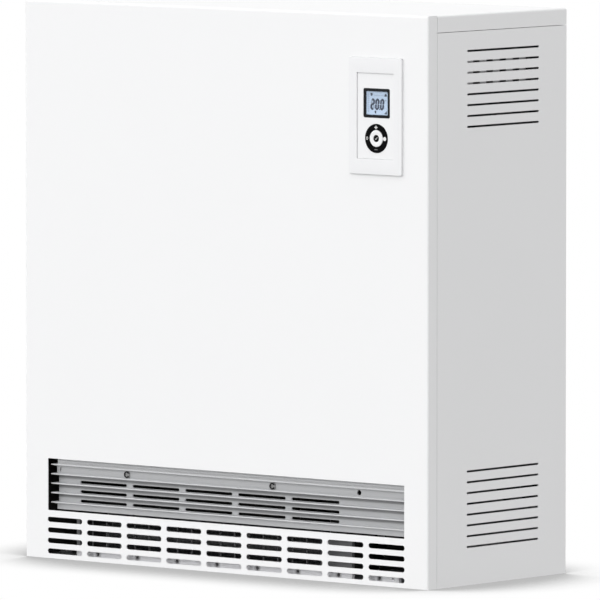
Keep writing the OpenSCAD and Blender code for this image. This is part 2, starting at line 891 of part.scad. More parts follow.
// Section of the shell under and behind the impeller, with the lip above it.
module scroll_section() {
    r = scroll_r + scroll_t;
    difference() {
        union() {
            intersection() {
                circle(r);
                translate([-r, -r]) square([r, scroll_r]);
            }
            translate([0, -r]) square([scroll_back, scroll_t]);
            translate([scroll_back - eps, -r]) square([scroll_t, scroll_back]);
            translate([lip_y, scroll_r - 2]) square([lip_l, scroll_t]);
        }
        circle(scroll_r);
    }
}

module fan_housing() {
    color("silver") placed() difference() {
        union() {
            translate([fan_x0 - end_gap, fan_y, fan_z]) rotate([90, 0, 90])
                linear_extrude(fan_len + 2 * end_gap) scroll_section();
            for (x = [fan_x0 - end_gap - end_t, fan_end_x])
                block([x, fan_y - scroll_r, fan_z - scroll_r - scroll_t],
                    [x + end_t, fan_y + scroll_back + scroll_t, duct_z0 - seat]);
        }
        rod_x([fan_x0 - end_gap - end_t - 1, fan_y, fan_z], bearing_r, end_t + 2);
        rod_x([fan_end_x - 1, fan_y, fan_z], shaft_r + 2, end_t + 2);
    }
}

module fan_impeller() {
    color("gray") placed() translate([fan_x0, fan_y, fan_z]) rotate([90, 0, 90]) difference() {
        union() {
            linear_extrude(fan_len) for (i = [0 : fan_blades - 1])
                rotate(i * 360 / fan_blades) translate([fan_r - blade_inset, 0]) rotate(blade_angle)
                    square([blade_l, blade_t]);
            for (x = [0, (fan_len - disc_t) / 2, fan_len - disc_t])
                translate([0, 0, x]) linear_extrude(disc_t) circle(fan_r);
            for (x = [0, fan_len - fan_hub_l])
                translate([0, 0, x]) linear_extrude(fan_hub_l) circle(shaft_r + fan_hub_t);
        }
        translate([0, 0, -1]) linear_extrude(fan_len + 2) circle(shaft_r);
    }
}

module fan_shaft() {
    color("silver") placed() rod_x([fan_x0 - shaft_out_left, fan_y, fan_z], shaft_r,
        fan_len + shaft_out_left + shaft_out_right);
}

module fan_bearing() {
    x0 = fan_x0 - end_gap - end_t - bearing_rim;
    color("darkgoldenrod") placed() difference() {
        union() {
            rod_x([x0, fan_y, fan_z], bearing_r - seat / 2, bearing_rim + end_t + 1);
            rod_x([x0, fan_y, fan_z], bearing_r + bearing_rim, bearing_rim - seat / 2);
        }
        rod_x([x0 - 1, fan_y, fan_z], shaft_r + running, bearing_rim + end_t + 3);
    }
}

module fan_motor() {
    x0 = fan_end_x + end_t + seat;
    color("dimgray") placed() difference() {
        union() {
            rod_x([x0, fan_y, fan_z], motor_r, motor_l);
            rod_x([x0 + motor_l - eps, fan_y, fan_z], bearing_r, motor_boss_l);
            block([x0, fan_y - motor_foot_w / 2, floor_top + seat],
                [x0 + motor_l, fan_y + motor_foot_w / 2, fan_z]);
        }
        rod_x([x0 - 1, fan_y, fan_z], shaft_r + running, shaft_out_right - end_gap - end_t + 2);
    }
}

// Sheet duct between the core's warm-air way and the grille.
module outlet_duct() {
    front = wing_y + wing_t + seat;
    strip_z = lock_z + strip_gap;
    color("silver") placed() difference() {
        union() {
            // Bottom, rear and both ends.
            block([duct_x0, strip_y, duct_z0], [duct_x1, duct_y1, duct_z0 + sheet]);
            block([duct_x0, duct_y1 - sheet, duct_z0], [duct_x1, duct_y1, plate_z - seat]);
            for (x = [duct_x0, duct_x1 - sheet])
                block([x, front, duct_z0], [x + sheet, duct_y1, plate_z - seat]);
            // Upper front strip that the fasteners' wings catch behind, with its top return.
            block([duct_x0, strip_y, strip_z], [duct_x1, strip_y + sheet, plate_z - seat]);
            block([duct_x0, strip_y, plate_z - seat - sheet],
                [duct_x1, channel_y_front - way_d / 2 - 1, plate_z - seat]);
        }
        rod_x([duct_x0 - 1, flap_y, flap_z], flap_shaft_r + running, sheet + 2);
        rod_x([duct_x1 - sheet - 1, flap_y, flap_z], flap_shaft_r + running, sheet + 2);
    }
}

module mixing_flap() {
    x0 = duct_x0 + sheet + flap_gap;
    x1 = duct_x1 - sheet - flap_gap;
    color("lightsteelblue") placed() difference() {
        union() {
            block([x0, flap_y - flap_len, flap_z - flap_t / 2], [x1, flap_y, flap_z + flap_t / 2]);
            rod_x([x0, flap_y, flap_z], flap_shaft_r + flap_hub_t, x1 - x0);
        }
        rod_x([x0 - 1, flap_y, flap_z], flap_shaft_r, duct_x1 - duct_x0);
    }
}

module flap_shaft() {
    color("silver") placed() rod_x([duct_x0 - flap_gap - 1, flap_y, flap_z], flap_shaft_r,
        lever_x + lever_hub_l - duct_x0 + flap_gap + 3);
}

module flap_lever() {
    color("silver") placed() difference() {
        union() {
            rod_x([lever_x, flap_y, flap_z], lever_w / 2, lever_hub_l);
            block([lever_x, flap_y - lever_w / 2, flap_z - lever_len],
                [lever_x + lever_t, flap_y + lever_w / 2, flap_z]);
        }
        rod_x([lever_x - 1, flap_y, flap_z], flap_shaft_r, lever_hub_l + 2);
    }
}

// Bimetal strip on the jacket's wall: it bends as the outlet air warms and pushes the lever.
module bimetal_strip() {
    y1 = flap_y - lever_w / 2 - seat;
    z1 = flap_z + strip_over;
    color("darkkhaki") placed() {
        block([bay_x0 + 1, y1 - strip_t, flap_z - lever_len + 2], [bay_x0 + 1 + strip_w, y1, z1]);
        block([bay_x0 + seat, y1 - strip_t - strip_block_t, z1 - strip_foot],
            [bay_x0 + 3 + strip_w, y1 - strip_t + eps, z1]);
    }
}

module lint_filter_frame() {
    rail_top = filter_z0 + filter_rail;
    back = filter_y + filter_t;
    grip_x1 = filter_x1 + grip_gap + grip_w;
    color("darkgray") placed() difference() {
        union() {
            block([filter_x0, filter_y, filter_z0], [filter_x1, back, rail_top]);
            block([filter_x0, filter_y, filter_z1 - filter_top_rail], [filter_x1, back, filter_z1]);
            for (x = [filter_x0, filter_x1 - filter_end_w])
                block([x, filter_y, filter_z0], [x + filter_end_w, back, filter_z1]);
            block([filter_pad_x, back - filter_pad_t, filter_z0],
                [filter_pad_x + filter_pad_w, back, filter_z1]);
            for (x = [filter_x0 + filter_rib_pitch : filter_rib_pitch : filter_pad_x - gusset_w])
                filter_rib(x, rail_top);
            block([filter_x1 - 1, filter_y, filter_z0], [grip_x1, back, filter_z0 + grip_neck]);
            block([grip_x1 - grip_w, filter_y, filter_z0], [grip_x1, back, rail_top]);
        }
        rod_y([grip_x1 - grip_hole_end, filter_y - 1, slot_low_z], drain_r / 2, filter_t + 2);
        for (i = [0 : slot_cols - 1])
            rod_y([slot_x0 - slot_len / 2 + i * slot_pitch_x + drain_x, filter_y - 1, slot_low_z - 1],
                drain_r, filter_t + 2);
    }
}

// Upright rib with a gusset on both sides of its foot.
module filter_rib(x, z) {
    back = filter_y + filter_t;
    block([x, back - filter_rib_d, z - 1], [x + filter_rib_w, back,
        filter_z1 - filter_top_rail + 1]);
    translate([x + filter_rib_w / 2, back, z]) rotate([90, 0, 0]) linear_extrude(filter_rib_d)
        polygon([[-gusset_w / 2, -eps], [gusset_w / 2, -eps], [0, gusset_h]]);
}

module lint_filter_mesh() {
    color("dimgray") placed()
        block([filter_x0 + filter_end_w, filter_y + filter_t + seat, filter_z0 + 2],
            [filter_x1 - filter_end_w, filter_y + filter_t + seat + mesh_t, filter_z1 - 2]);
}

// Side view of the grille, forward to the right: apron, plate and raised flat, each ending in
// the fin that joins it to the next.
module grille_section() {
    low_z = fin_zs[fin_count - 1] - fin_t / 2;
    flat_z0 = fin_zs[1] - fin_t / 2;
    translate([0, grille_z0]) square([apron_proud + grille_t, apron_h]);
    translate([apron_proud, grille_z0]) square([grille_t, low_z + fin_t - grille_z0]);
    translate([0, low_z]) square([grille_t, flat_z0 + fin_t - low_z]);
    translate([flat_proud, flat_z0]) square([grille_t, fin_top_z + fin_t / 2 - flat_z0]);
}

// Brow with its ribs and the leg along its top that stands against the duct.
module brow_section() {
    z0 = fin_top_z - fin_t / 2;
    translate([brow_proud, z0]) square([grille_t, grille_z1 - z0]);
    translate([0, grille_z1 - grille_t]) square([brow_proud + grille_t, grille_t]);
    for (z = rib_zs) translate([brow_proud + grille_t, z]) circle(rib_r);
}

// Fin with a round nose and a fillet under its root at depth y.
module fin_section(y) {
    translate([0, -fin_t / 2]) square([grille_t + fin_d - fin_t / 2, fin_t]);
    translate([grille_t + fin_d - fin_t / 2, 0]) circle(fin_t / 2);
    translate([y, -fin_t / 2]) difference() {
        translate([-eps, -fin_fillet]) square([fin_fillet, fin_fillet + eps]);
        translate([fin_fillet, -fin_fillet]) circle(fin_fillet);
    }
}

// Carries a side view along the grille, past both ends of its plate by the given length.
module along_grille(over, z) {
    translate([grille_x0 - over, grille_y + grille_t, z]) mirror([0, 1, 0]) rotate([90, 0, 90])
        linear_extrude(grille_w + 2 * over) children();
}

module outlet_grille() {
    color("darkgray") placed() difference() {
        union() {
            along_grille(0, 0) grille_section();
            along_grille(-brow_end, 0) brow_section();
            for (i = [0 : fin_count - 1])
                along_grille(fin_over, fin_zs[i]) fin_section(fin_root_ys[i]);
        }
        for (i = [0 : vent_cols - 1], z = vent_zs)
            slot_y([outlet_x0 + vent_x + vent_len / 2 + i * vent_pitch, grille_y - 1, z],
                vent_len, vent_h, grille_t + 2);
        for (x = lock_xs)
            rod_y([x, flat_y - 1, lock_z], lock_shank_r + running, grille_t + 2);
        rod_y([grille_hole_x, flat_y - 1, lock_z], grille_hole_r, grille_t + 2);
        // Upright slot near the flat's left end.
        block([grille_x0 + end_slot_x, flat_y - 1, lock_z - end_slot_h / 2],
            [grille_x0 + end_slot_x + end_slot_w, flat_y + grille_t + 1, lock_z + end_slot_h / 2]);
    }
}

// Quarter-turn fastener, drawn locked: its wing stands upright behind the duct's strip.
module grille_lock(x) {
    head_y = flat_y - lock_head_t - seat / 2;
    color("gray") placed() difference() {
        union() {
            rod_y([x, head_y, lock_z], lock_r, lock_head_t);
            rod_y([x, head_y, lock_z], lock_shank_r, wing_y + wing_t - head_y);
            block([x - wing_w / 2, wing_y, lock_z - wing_l / 2],
                [x + wing_w / 2, wing_y + wing_t, lock_z + wing_l / 2]);
        }
        // Screwdriver slot.
        block([x - lock_r - 1, head_y - 1, lock_z - driver_slot_w / 2],
            [x + lock_r + 1, head_y + driver_slot_d, lock_z + driver_slot_w / 2]);
    }
}

module grille_lock_left() { grille_lock(lock_xs[0]); }
module grille_lock_right() { grille_lock(lock_xs[1]); }

// Slotted sheet just inside the right panel, behind the upper louvres.
module side_baffle() {
    color("silver") placed() difference() {
        union() {
            block([baffle_x, baffle_y0, baffle_z0], [baffle_x + sheet, baffle_y1, baffle_z1]);
            block([baffle_x, baffle_y0, baffle_z0],
                [body_w - sheet - seat, baffle_y1, baffle_z0 + sheet]);
        }
        for (i = [0 : baffle_count - 1])
            translate([baffle_x - 1, louvre_y + baffle_first + i * baffle_pitch,
                baffle_z0 + baffle_edge])
                    cube([sheet + 2, baffle_slot, baffle_z1 - baffle_z0 - 2 * baffle_edge]);
    }
}

module control_plate() {
    x0 = bay_x0 + plate_gap;
    z1 = control_z0 + control_h;
    color("silver") placed() difference() {
        union() {
            block([x0, plate_y0, control_z0], [x0 + sheet, plate_y1, z1]);
            for (y = [plate_y0 + standoff_inset, plate_y1 - standoff_inset],
                z = [control_z0 + standoff_inset, z1 - standoff_inset])
                    rod_x([bay_x0 + seat, y, z], standoff_r, plate_gap);
        }
        // Way for the wires under the board.
        block([x0 - 1, board_y0 + chip_y, control_z0 + chip_z],
            [x0 + sheet + 1, board_y0 + chip_y + chip_d, control_z0 + chip_z + chip_h]);
    }
}

module charge_relay() {
    y0 = plate_y0 + relay_y;
    z0 = control_z0 + relay_z;
    color("whitesmoke") placed() {
        block([relay_x, y0, z0], [relay_x + relay_w, y0 + relay_d, z0 + relay_h]);
        block([relay_x + relay_w - eps, y0 + coil_inset, z0 + coil_inset],
            [relay_x + relay_w + coil_w, y0 + relay_d - coil_inset, z0 + relay_h - coil_inset]);
    }
}

module control_board() {
    x0 = relay_x + board_gap;
    x1 = x0 + board_t;
    y1 = plate_y1 - board_inset;
    z0 = control_z0 + board_inset;
    z1 = control_z0 + control_h - board_inset;
    color("seagreen") placed() {
        block([x0, board_y0, z0], [x1, y1, z1]);
        for (y = [board_y0 + board_inset, y1 - board_inset], z = [z0 + board_inset, z1 - board_inset])
            rod_x([relay_x, y, z], pillar_r, board_gap + eps);
        block([x1 - eps, board_y0 + chip_y, z0 + chip_z],
            [x1 + chip_w, board_y0 + chip_y + chip_d, z0 + chip_z + chip_h]);
        rod_x([x1 - eps, board_y0 + coil_y, z0 + coil_z], coil_r, coil_l);
    }
}

module terminal_block() {
    x0 = body_w - terminal_right;
    y0 = body_d - foot_inset - foot_r - terminal_gap - terminal_ways * terminal_way;
    top = floor_top + terminal_h;
    color("whitesmoke") placed() difference() {
        block([x0, y0, floor_top + seat], [x0 + terminal_w, y0 + terminal_ways * terminal_way, top]);
        for (i = [0 : terminal_ways - 1]) {
            y = y0 + (i + 0.5) * terminal_way;
            translate([x0 + terminal_w / 2, y, top - terminal_screw_deep])
                cylinder(r = terminal_screw_r, h = terminal_screw_deep + 1);
            block([x0 - 1, y - terminal_slot / 2, floor_top + terminal_slot_z], [x0 + terminal_w + 1,
                y + terminal_slot / 2, floor_top + terminal_slot_z + terminal_slot]);
        }
    }
}

module safety_limiter() {
    color("whitesmoke") placed() difference() {
        union() {
            rod_x([limiter_x, element_y, limiter_z], limiter_r, limiter_l);
            block([limiter_x, element_y - ear_w / 2, limiter_z - ear_h / 2],
                [limiter_x + ear_t, element_y + ear_w / 2, limiter_z + ear_h / 2]);
            // Terminal tabs.
            for (s = [-1, 1])
                block([limiter_x + tab_x, element_y + s * tab_y - tab_w / 2, limiter_z - tab_h],
                    [limiter_x + tab_x + tab_t, element_y + s * tab_y + tab_w / 2, limiter_z]);
        }
        rod_x([limiter_x + limiter_l - button_deep, element_y, limiter_z], button_r + running,
            button_deep + 1);
    }
}

module limiter_button() {
    color("red") placed()
        rod_x([limiter_x + limiter_l - button_deep + button_travel + 1, element_y, limiter_z],
            button_r, button_l);
}

module core_sensor() {
    color("silver") placed() {
        rod_x([core_x1 + seat, element_y, sensor_z], sensor_r, jacket_x1 - core_x1 + sensor_out);
        rod_x([jacket_x1 + seat, element_y, sensor_z], sensor_r + sensor_head_t, sensor_head_l);
    }
}

module cable_grommets() {
    color("dimgray") placed() for (x = grommet_xs) difference() {
        union() {
            rod_y([x, rear_y - grommet_flange - seat / 2, grommet_z], grommet_r + grommet_rim,
                grommet_flange);
            rod_y([x, rear_y - 1, grommet_z], grommet_r - seat / 2, sheet + seat + 1);
            rod_y([x, rear_y + sheet + seat / 2, grommet_z], grommet_r + grommet_lip, grommet_lip_t);
        }
        rod_y([x, rear_y - grommet_flange - 1, grommet_z], cable_r, grommet_flange + sheet + 3);
    }
}

module controller_bezel() {
    hole_w = bezel_w - 2 * collar - seat;
    hole_h = bezel_h - 2 * collar - seat;
    color("white") placed() difference() {
        union() {
            rounded_plate(bezel_x, bezel_z, -bezel_proud, bezel_w - 2 * bezel_edge,
                bezel_h - 2 * bezel_edge, bezel_corner - bezel_edge, 2 * bezel_edge);
            rounded_plate(bezel_x, bezel_z, -bezel_proud + bezel_edge, bezel_w, bezel_h,
                bezel_corner, bezel_proud - bezel_edge);
            rounded_plate(bezel_x, bezel_z, -eps, hole_w, hole_h, 1, sheet + bezel_back);
        }
        rounded_plate(bezel_x, bezel_z, -bezel_proud - 1, fascia_w, fascia_h, 1, 10);
        rounded_plate(bezel_x, bezel_z, flange_y - seat, flange_size_w + seat, flange_size_h + seat,
            1, 20);
    }
}

module key_hole(y, l, extra) {
    translate([ring_x, y, ring_z]) rotate([-90, 0, 0]) cylinder(r = ring_r + extra, h = l);
}

module controller_fascia() {
    color("white") placed() difference() {
        union() {
            rounded_plate(bezel_x, bezel_z, fascia_y, fascia_w - seat, fascia_h - seat, 0.9, fascia_t);
            rounded_plate(bezel_x, bezel_z, flange_y - eps, flange_size_w, flange_size_h, 1,
                flange_t + eps);
            // Rim of the housing that reaches back to the board.
            difference() {
                rounded_plate(bezel_x, bezel_z, flange_y, flange_size_w, flange_size_h, 1,
                    board_y - flange_y - seat);
                rounded_plate(bezel_x, bezel_z, flange_y - 1, flange_size_w - rim_t,
                    flange_size_h - rim_t, 1, 20);
            }
        }
        rounded_plate(display_x, display_z, fascia_y - 1, display_w, display_h, 2, 10);
        key_hole(fascia_y - 1, 10, key_gap);
    }
}

module display_frame() {
    color("black") placed() difference() {
        rounded_plate(display_x, display_z, fascia_y - frame_proud, display_w - seat,
            display_h - seat, frame_corner, frame_t);
        rounded_plate(display_x, display_z, fascia_y - 1, window_w, window_h, 1, 8);
    }
}

module display_glass() {
    color("lightblue", 0.5) placed()
        rounded_plate(display_x, display_z, fascia_y + glass_sink, window_w - seat, window_h - seat,
            0.9, glass_t);
}

module display_panel() {
    back = panel_sink + panel_t;
    color("lightsteelblue") placed() {
        rounded_plate(display_x, display_z, fascia_y + panel_sink, window_w - seat, window_h - seat,
            0.9, panel_t);
        rounded_plate(display_x, display_z, fascia_y + back - eps, display_w - panel_edge,
            display_h - panel_edge, 0.9, board_y - fascia_y - back - seat);
    }
}

module controller_board() {
    color("seagreen") placed() {
        rounded_plate(bezel_x, bezel_z, board_y, flange_size_w, flange_size_h, 1, board_t);
        for (a = [0 : 90 : 270])
            rod_y([ring_x + switch_ring * cos(a), board_y - switch_h, ring_z + switch_ring * sin(a)],
                switch_r, switch_h + eps);
        rod_y([ring_x, board_y - switch_h, ring_z], switch_r, switch_h + eps);
        // Socket for the flat cable.
        block([bezel_x - plug_w / 2, board_y + board_t - eps, bezel_z - plug_drop],
            [bezel_x + plug_w / 2, board_y + board_t + plug_t, bezel_z - plug_drop + plug_h]);
    }
}

// Quarter of the ring, centred on the angle given, with its flange behind the fascia and its stem.
module ring_key(a) {
    color("black") placed() translate([ring_x, 0, ring_z]) rotate([0, -a, 0]) {
        translate([0, fascia_y - key_face, 0]) rotate([-90, 0, 0])
            linear_extrude(key_back - key_flange - fascia_y + key_face + eps)
                key_sector(ring_in_r, ring_r);
        translate([0, key_back - key_flange, 0]) rotate([-90, 0, 0]) linear_extrude(key_flange)
            key_sector(ring_in_r, ring_r + 1);
        rod_y([switch_ring, key_back - eps, 0], stem_r, stem_end - key_back + eps);
    }
}

// Sector of 90 degrees about +X with parallel gaps to its neighbours.
module key_sector(r0, r1) {
    difference() {
        circle(r1);
        circle(r0);
        for (s = [-1, 1]) rotate(s * 45) translate([-r1 - 1, s > 0 ? -key_gap : -r1 - 1])
            square([2 * r1 + 2, r1 + 1 + key_gap]);
        translate([-2 * r1, -2 * r1]) square([2 * r1, 4 * r1]);
    }
}

module key_up() { ring_key(90); }
module key_down() { ring_key(-90); }
module key_left() { ring_key(180); }
module key_right() { ring_key(0); }

module key_ok() {
    color("white") placed() {
        rod_y([ring_x, fascia_y - key_face, ring_z], ring_in_r - key_gap,
            key_back - fascia_y + key_face);
        rod_y([ring_x, key_back - eps, ring_z], stem_r, stem_end - key_back + eps);
    }
}

base_pan();
feet();
rear_panel();
left_panel();
right_panel();
top_cover();
front_panel();
case_screws();
core_jacket();
inner_front_wall();
core_lid();
insulation_floor();
insulation_rear();
insulation_front();
insulation_left();
insulation_right();
insulation_top();
brick_row_1();
brick_row_2();
brick_row_3();
brick_row_4();
heating_element_1();
heating_element_2();
heating_element_3();
element_bushes();
fan_housing();
fan_impeller();
fan_shaft();
fan_bearing();
fan_motor();
outlet_duct();
mixing_flap();
flap_shaft();
flap_lever();
bimetal_strip();
lint_filter_frame();
lint_filter_mesh();
outlet_grille();
grille_lock_left();
grille_lock_right();
side_baffle();
control_plate();
control_board();
charge_relay();
terminal_block();
safety_limiter();
limiter_button();
core_sensor();
cable_grommets();
controller_bezel();
controller_fascia();
display_frame();
display_glass();
display_panel();
controller_board();
key_up();
key_down();
key_left();
key_right();
key_ok();
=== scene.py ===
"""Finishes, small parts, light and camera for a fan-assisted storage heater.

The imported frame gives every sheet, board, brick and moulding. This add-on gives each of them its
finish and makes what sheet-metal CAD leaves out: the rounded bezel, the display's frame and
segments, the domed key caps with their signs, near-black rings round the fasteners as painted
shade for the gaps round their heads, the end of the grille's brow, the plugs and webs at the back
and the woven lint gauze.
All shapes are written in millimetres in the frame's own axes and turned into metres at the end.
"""
import math

import bpy
import numpy as np
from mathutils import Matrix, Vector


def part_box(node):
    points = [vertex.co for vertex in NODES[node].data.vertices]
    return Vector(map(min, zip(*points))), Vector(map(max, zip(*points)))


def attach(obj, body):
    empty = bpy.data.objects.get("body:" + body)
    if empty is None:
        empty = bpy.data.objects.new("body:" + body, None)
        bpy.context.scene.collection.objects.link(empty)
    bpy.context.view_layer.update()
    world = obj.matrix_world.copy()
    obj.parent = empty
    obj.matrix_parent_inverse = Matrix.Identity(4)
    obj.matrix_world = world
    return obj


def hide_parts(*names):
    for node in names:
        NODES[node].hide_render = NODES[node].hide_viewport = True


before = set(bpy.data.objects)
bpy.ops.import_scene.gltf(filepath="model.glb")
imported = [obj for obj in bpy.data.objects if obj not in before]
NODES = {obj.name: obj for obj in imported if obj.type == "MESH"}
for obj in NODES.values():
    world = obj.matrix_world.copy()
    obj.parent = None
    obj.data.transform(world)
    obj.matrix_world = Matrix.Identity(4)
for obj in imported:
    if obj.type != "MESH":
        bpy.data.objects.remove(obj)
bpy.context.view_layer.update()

bl_info = {
    "name": "Storage Heater Finish",
    "version": (1, 0, 0),
    "blender": (4, 5, 0),
    "location": "View3D > Sidebar > Heater",
    "description": "Finishes and small parts of a fan-assisted storage heater",
    "category": "Object",
}

MM = 0.001
SHARP = 35.0  # degrees between two faces past which their edge stays sharp


def box_mm(node):
    """Lowest and highest corner of a CAD node, in millimetres."""
    lo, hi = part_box(node)
    return np.array(lo) / MM, np.array(hi) / MM


# ---- Sizes and colours


class HeaterFinishSettings(bpy.types.PropertyGroup):
    """Colours of the surfaces that show."""

    paint: bpy.props.FloatVectorProperty(
        name="Casing paint", description="Powder coat of the casing",
        subtype="COLOR", default=(0.86, 0.862, 0.868))
    mouldings: bpy.props.FloatVectorProperty(
        name="White mouldings", description="Fascia and centre key",
        subtype="COLOR", default=(0.84, 0.843, 0.852))
    bezel: bpy.props.FloatVectorProperty(
        name="Bezel", description="Raised bezel round the fascia",
        subtype="COLOR", default=(0.825, 0.828, 0.84))
    grille: bpy.props.FloatVectorProperty(
        name="Outlet grille", description="Anodised aluminium of the outlet grille",
        subtype="COLOR", default=(0.5, 0.505, 0.515))
    filter_frame: bpy.props.FloatVectorProperty(
        name="Filter frame", description="Moulded frame of the lint filter",
        subtype="COLOR", default=(0.74, 0.74, 0.76))
    display: bpy.props.FloatVectorProperty(
        name="Display", description="Lit background of the display",
        subtype="COLOR", default=(0.465, 0.59, 0.76))
    segments: bpy.props.FloatVectorProperty(
        name="Display segments", description="Dark segments of the display",
        subtype="COLOR", default=(0.008, 0.022, 0.06))


class HeaterControlSettings(bpy.types.PropertyGroup):
    """Sizes of the controller's small parts."""

    bezel_round: bpy.props.FloatProperty(
        name="Bezel edge", description="Radius of the bezel's outer edge",
        subtype="DISTANCE", default=0.00045, min=0.0003, max=0.002)
    dome: bpy.props.FloatProperty(
        name="Key dome", description="Rise of a key cap over its edge",
        subtype="DISTANCE", default=0.0004, min=0.0001, max=0.0008)
    digit_height: bpy.props.FloatProperty(
        name="Digit height", description="Height of the temperature digits",
        subtype="DISTANCE", default=0.0132, min=0.006, max=0.016)
    digit_width: bpy.props.FloatProperty(
        name="Digit width", description="Width of one temperature digit",
        subtype="DISTANCE", default=0.0062, min=0.003, max=0.008)
    gauze_pitch: bpy.props.FloatProperty(
        name="Gauze pitch", description="Distance between the wires of the lint gauze",
        subtype="DISTANCE", default=0.002, min=0.0015, max=0.004)


class HeaterStageSettings(bpy.types.PropertyGroup):
    """Light, floor and camera."""

    ambient: bpy.props.FloatProperty(
        name="Ambient", description="Strength of the even light from all round",
        default=0.911, min=0.0, max=2.0)
    key: bpy.props.FloatProperty(
        name="Key", description="Extra strength of the light from above in front",
        default=1.842, min=0.0, max=6.0)
    floor_grey: bpy.props.FloatProperty(
        name="Floor grey", description="Share of light that the floor throws back",
        subtype="FACTOR", default=0.357, min=0.0, max=1.0)
    contact: bpy.props.FloatProperty(
        name="Contact shadow", description="Reach of the shade along the casing's foot",
        subtype="DISTANCE", default=0.19, min=0.0, max=0.4)
    lens: bpy.props.FloatProperty(
        name="Lens", description="Focal length of the camera in millimetres",
        default=666.2, min=50.0, max=1000.0)


def settings():
    """The three groups of settings of the scene."""
    scene = bpy.context.scene
    return scene.heater_finish, scene.heater_controls, scene.heater_stage


# ---- Surfaces from grids


class Surface:
    """Closed surfaces gathered from grids of points in millimetres, made into one piece."""

    def __init__(self):
        self.points = []
        self.faces = []
        self.count = 0

    def add(self, grids, ring=False):
        """Adds grids of points, shaped (copies, rows, columns, 3) or (rows, columns, 3).

        Columns always close on themselves. Rows close too where ring is true, and otherwise the
        first and the last row are capped by a flat face each. The faces are turned outwards by the
        sign of the volume that they enclose.
        """
        grids = np.asarray(grids, float)
        if grids.ndim == 3:
            grids = grids[None]
        copies, rows, cols = grids.shape[:3]
        r = np.arange(rows if ring else rows - 1)[:, None]
        c = np.arange(cols)[None, :]
        corners = [r * cols + c, r * cols + (c + 1) % cols,
                   (r + 1) % rows * cols + (c + 1) % cols, (r + 1) % rows * cols + c]
        quads = np.stack(corners, -1).reshape(-1, 4)
        caps = [] if ring else [np.arange(cols)[::-1], np.arange(cols) + (rows - 1) * cols]
        first = grids[0].reshape(-1, 3)
        if enclosed_volume(first, quads, caps) < 0:
            quads = quads[:, ::-1]
            caps = [cap[::-1] for cap in caps]
        for copy in range(copies):
            start = self.count + copy * rows * cols
            self.faces.extend((quads + start).tolist())
            self.faces.extend((cap + start).tolist() for cap in caps)
        self.points.append(grids.reshape(-1, 3))
        self.count += copies * rows * cols
        return self

    def piece(self, name, body, slot, *kinds):
        """Makes the mesh in metres, shades it smooth up to SHARP and lets it ride on its body."""
        mesh = bpy.data.meshes.new(name)
        mesh.from_pydata((np.concatenate(self.points) * MM).tolist(), [], self.faces)
        for kind in kinds:
            mesh.materials.append(finish_of(kind))
        mesh.shade_smooth()
        mesh.set_sharp_from_angle(angle=math.radians(SHARP))
        mesh.update()
        made = bpy.data.objects.new(name, mesh)
        bpy.context.scene.collection.objects.link(made)
        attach(made, body)
        return made


def enclosed_volume(points, quads, caps):
    """Signed volume inside quads and caps: a sixth of the summed triple products of each fan."""
    total = 0.0
    for faces in (quads, *(cap[None] for cap in caps)):
        fan = points[faces]
        total += np.einsum("fi,fki->", fan[:, 0], np.cross(fan[:, 1:-1], fan[:, 2:]))
    return total / 6


def rounded_rectangle(half_w, half_h, radius, steps=9):
    """Outline of a rectangle with round corners: a quarter circle about each corner's centre."""
    angle = np.linspace(0, math.pi / 2, steps)
    turn = np.arange(4)[:, None] * math.pi / 2
    x = (half_w - radius) * np.array([1, -1, -1, 1])[:, None] + radius * np.cos(angle + turn)
    z = (half_h - radius) * np.array([1, 1, -1, -1])[:, None] + radius * np.sin(angle + turn)
    return np.stack([x.ravel(), z.ravel()], -1)


def lofted_frame(stations, centre):
    """Grid through rounded rectangles: one row each for (half width, half height, radius, y)."""
    return np.array([np.insert(rounded_rectangle(*shape) + centre[[0, 2]], 1, y, axis=1)
                     for *shape, y in stations])


def turned(profile, centre, columns=48):
    """Grid of a profile of (radius, y) turned about the Y axis through the centre."""
    profile = np.asarray(profile, float)
    angle = np.linspace(0, 2 * math.pi, columns, endpoint=False)
    x = centre[0] + profile[:, :1] * np.cos(angle)
    z = centre[2] + profile[:, :1] * np.sin(angle)
    return np.stack([x, np.broadcast_to(profile[:, 1:], x.shape), z], -1)


def extruded(outline, y0, y1):
    """Grid of an outline in the plane of x and z, carried from depth y0 to depth y1."""
    return np.array([np.insert(np.asarray(outline, float), 1, y, axis=1) for y in (y0, y1)])


def stroke(line, width):
    """Outline of a line drawn with a flat pen: the line shifted half a width to both sides."""
    line = np.asarray(line, float)
    along = np.gradient(line, axis=0)
    along /= np.linalg.norm(along, axis=1)[:, None]
    aside = np.stack([-along[:, 1], along[:, 0]], -1) * width / 2
    return np.concatenate([line + aside, (line - aside)[::-1]])


def arc(centre, radius, start, end, steps=13):
    """Points on an arc from the angle start to the angle end, in degrees."""
    angle = np.radians(np.linspace(start, end, steps))
    return np.stack([centre[0] + radius * np.cos(angle), centre[1] + radius * np.sin(angle)], -1)


# ---- Finishes


def add_node(tree, kind, values=None, **attributes):
    """New node with its attributes and its input values or links."""
    made = tree.nodes.new(kind)
    for key, value in attributes.items():
        setattr(made, key, value)
    for key, value in (values or {}).items():
        if isinstance(value, bpy.types.NodeSocket):
            tree.links.new(value, made.inputs[key])
        else:
            made.inputs[key].default_value = value
    return made


def empty_tree(owner):
    """Node tree of a material or a world, cleared."""
    owner.use_nodes = True
    owner.node_tree.nodes.clear()
    return owner.node_tree


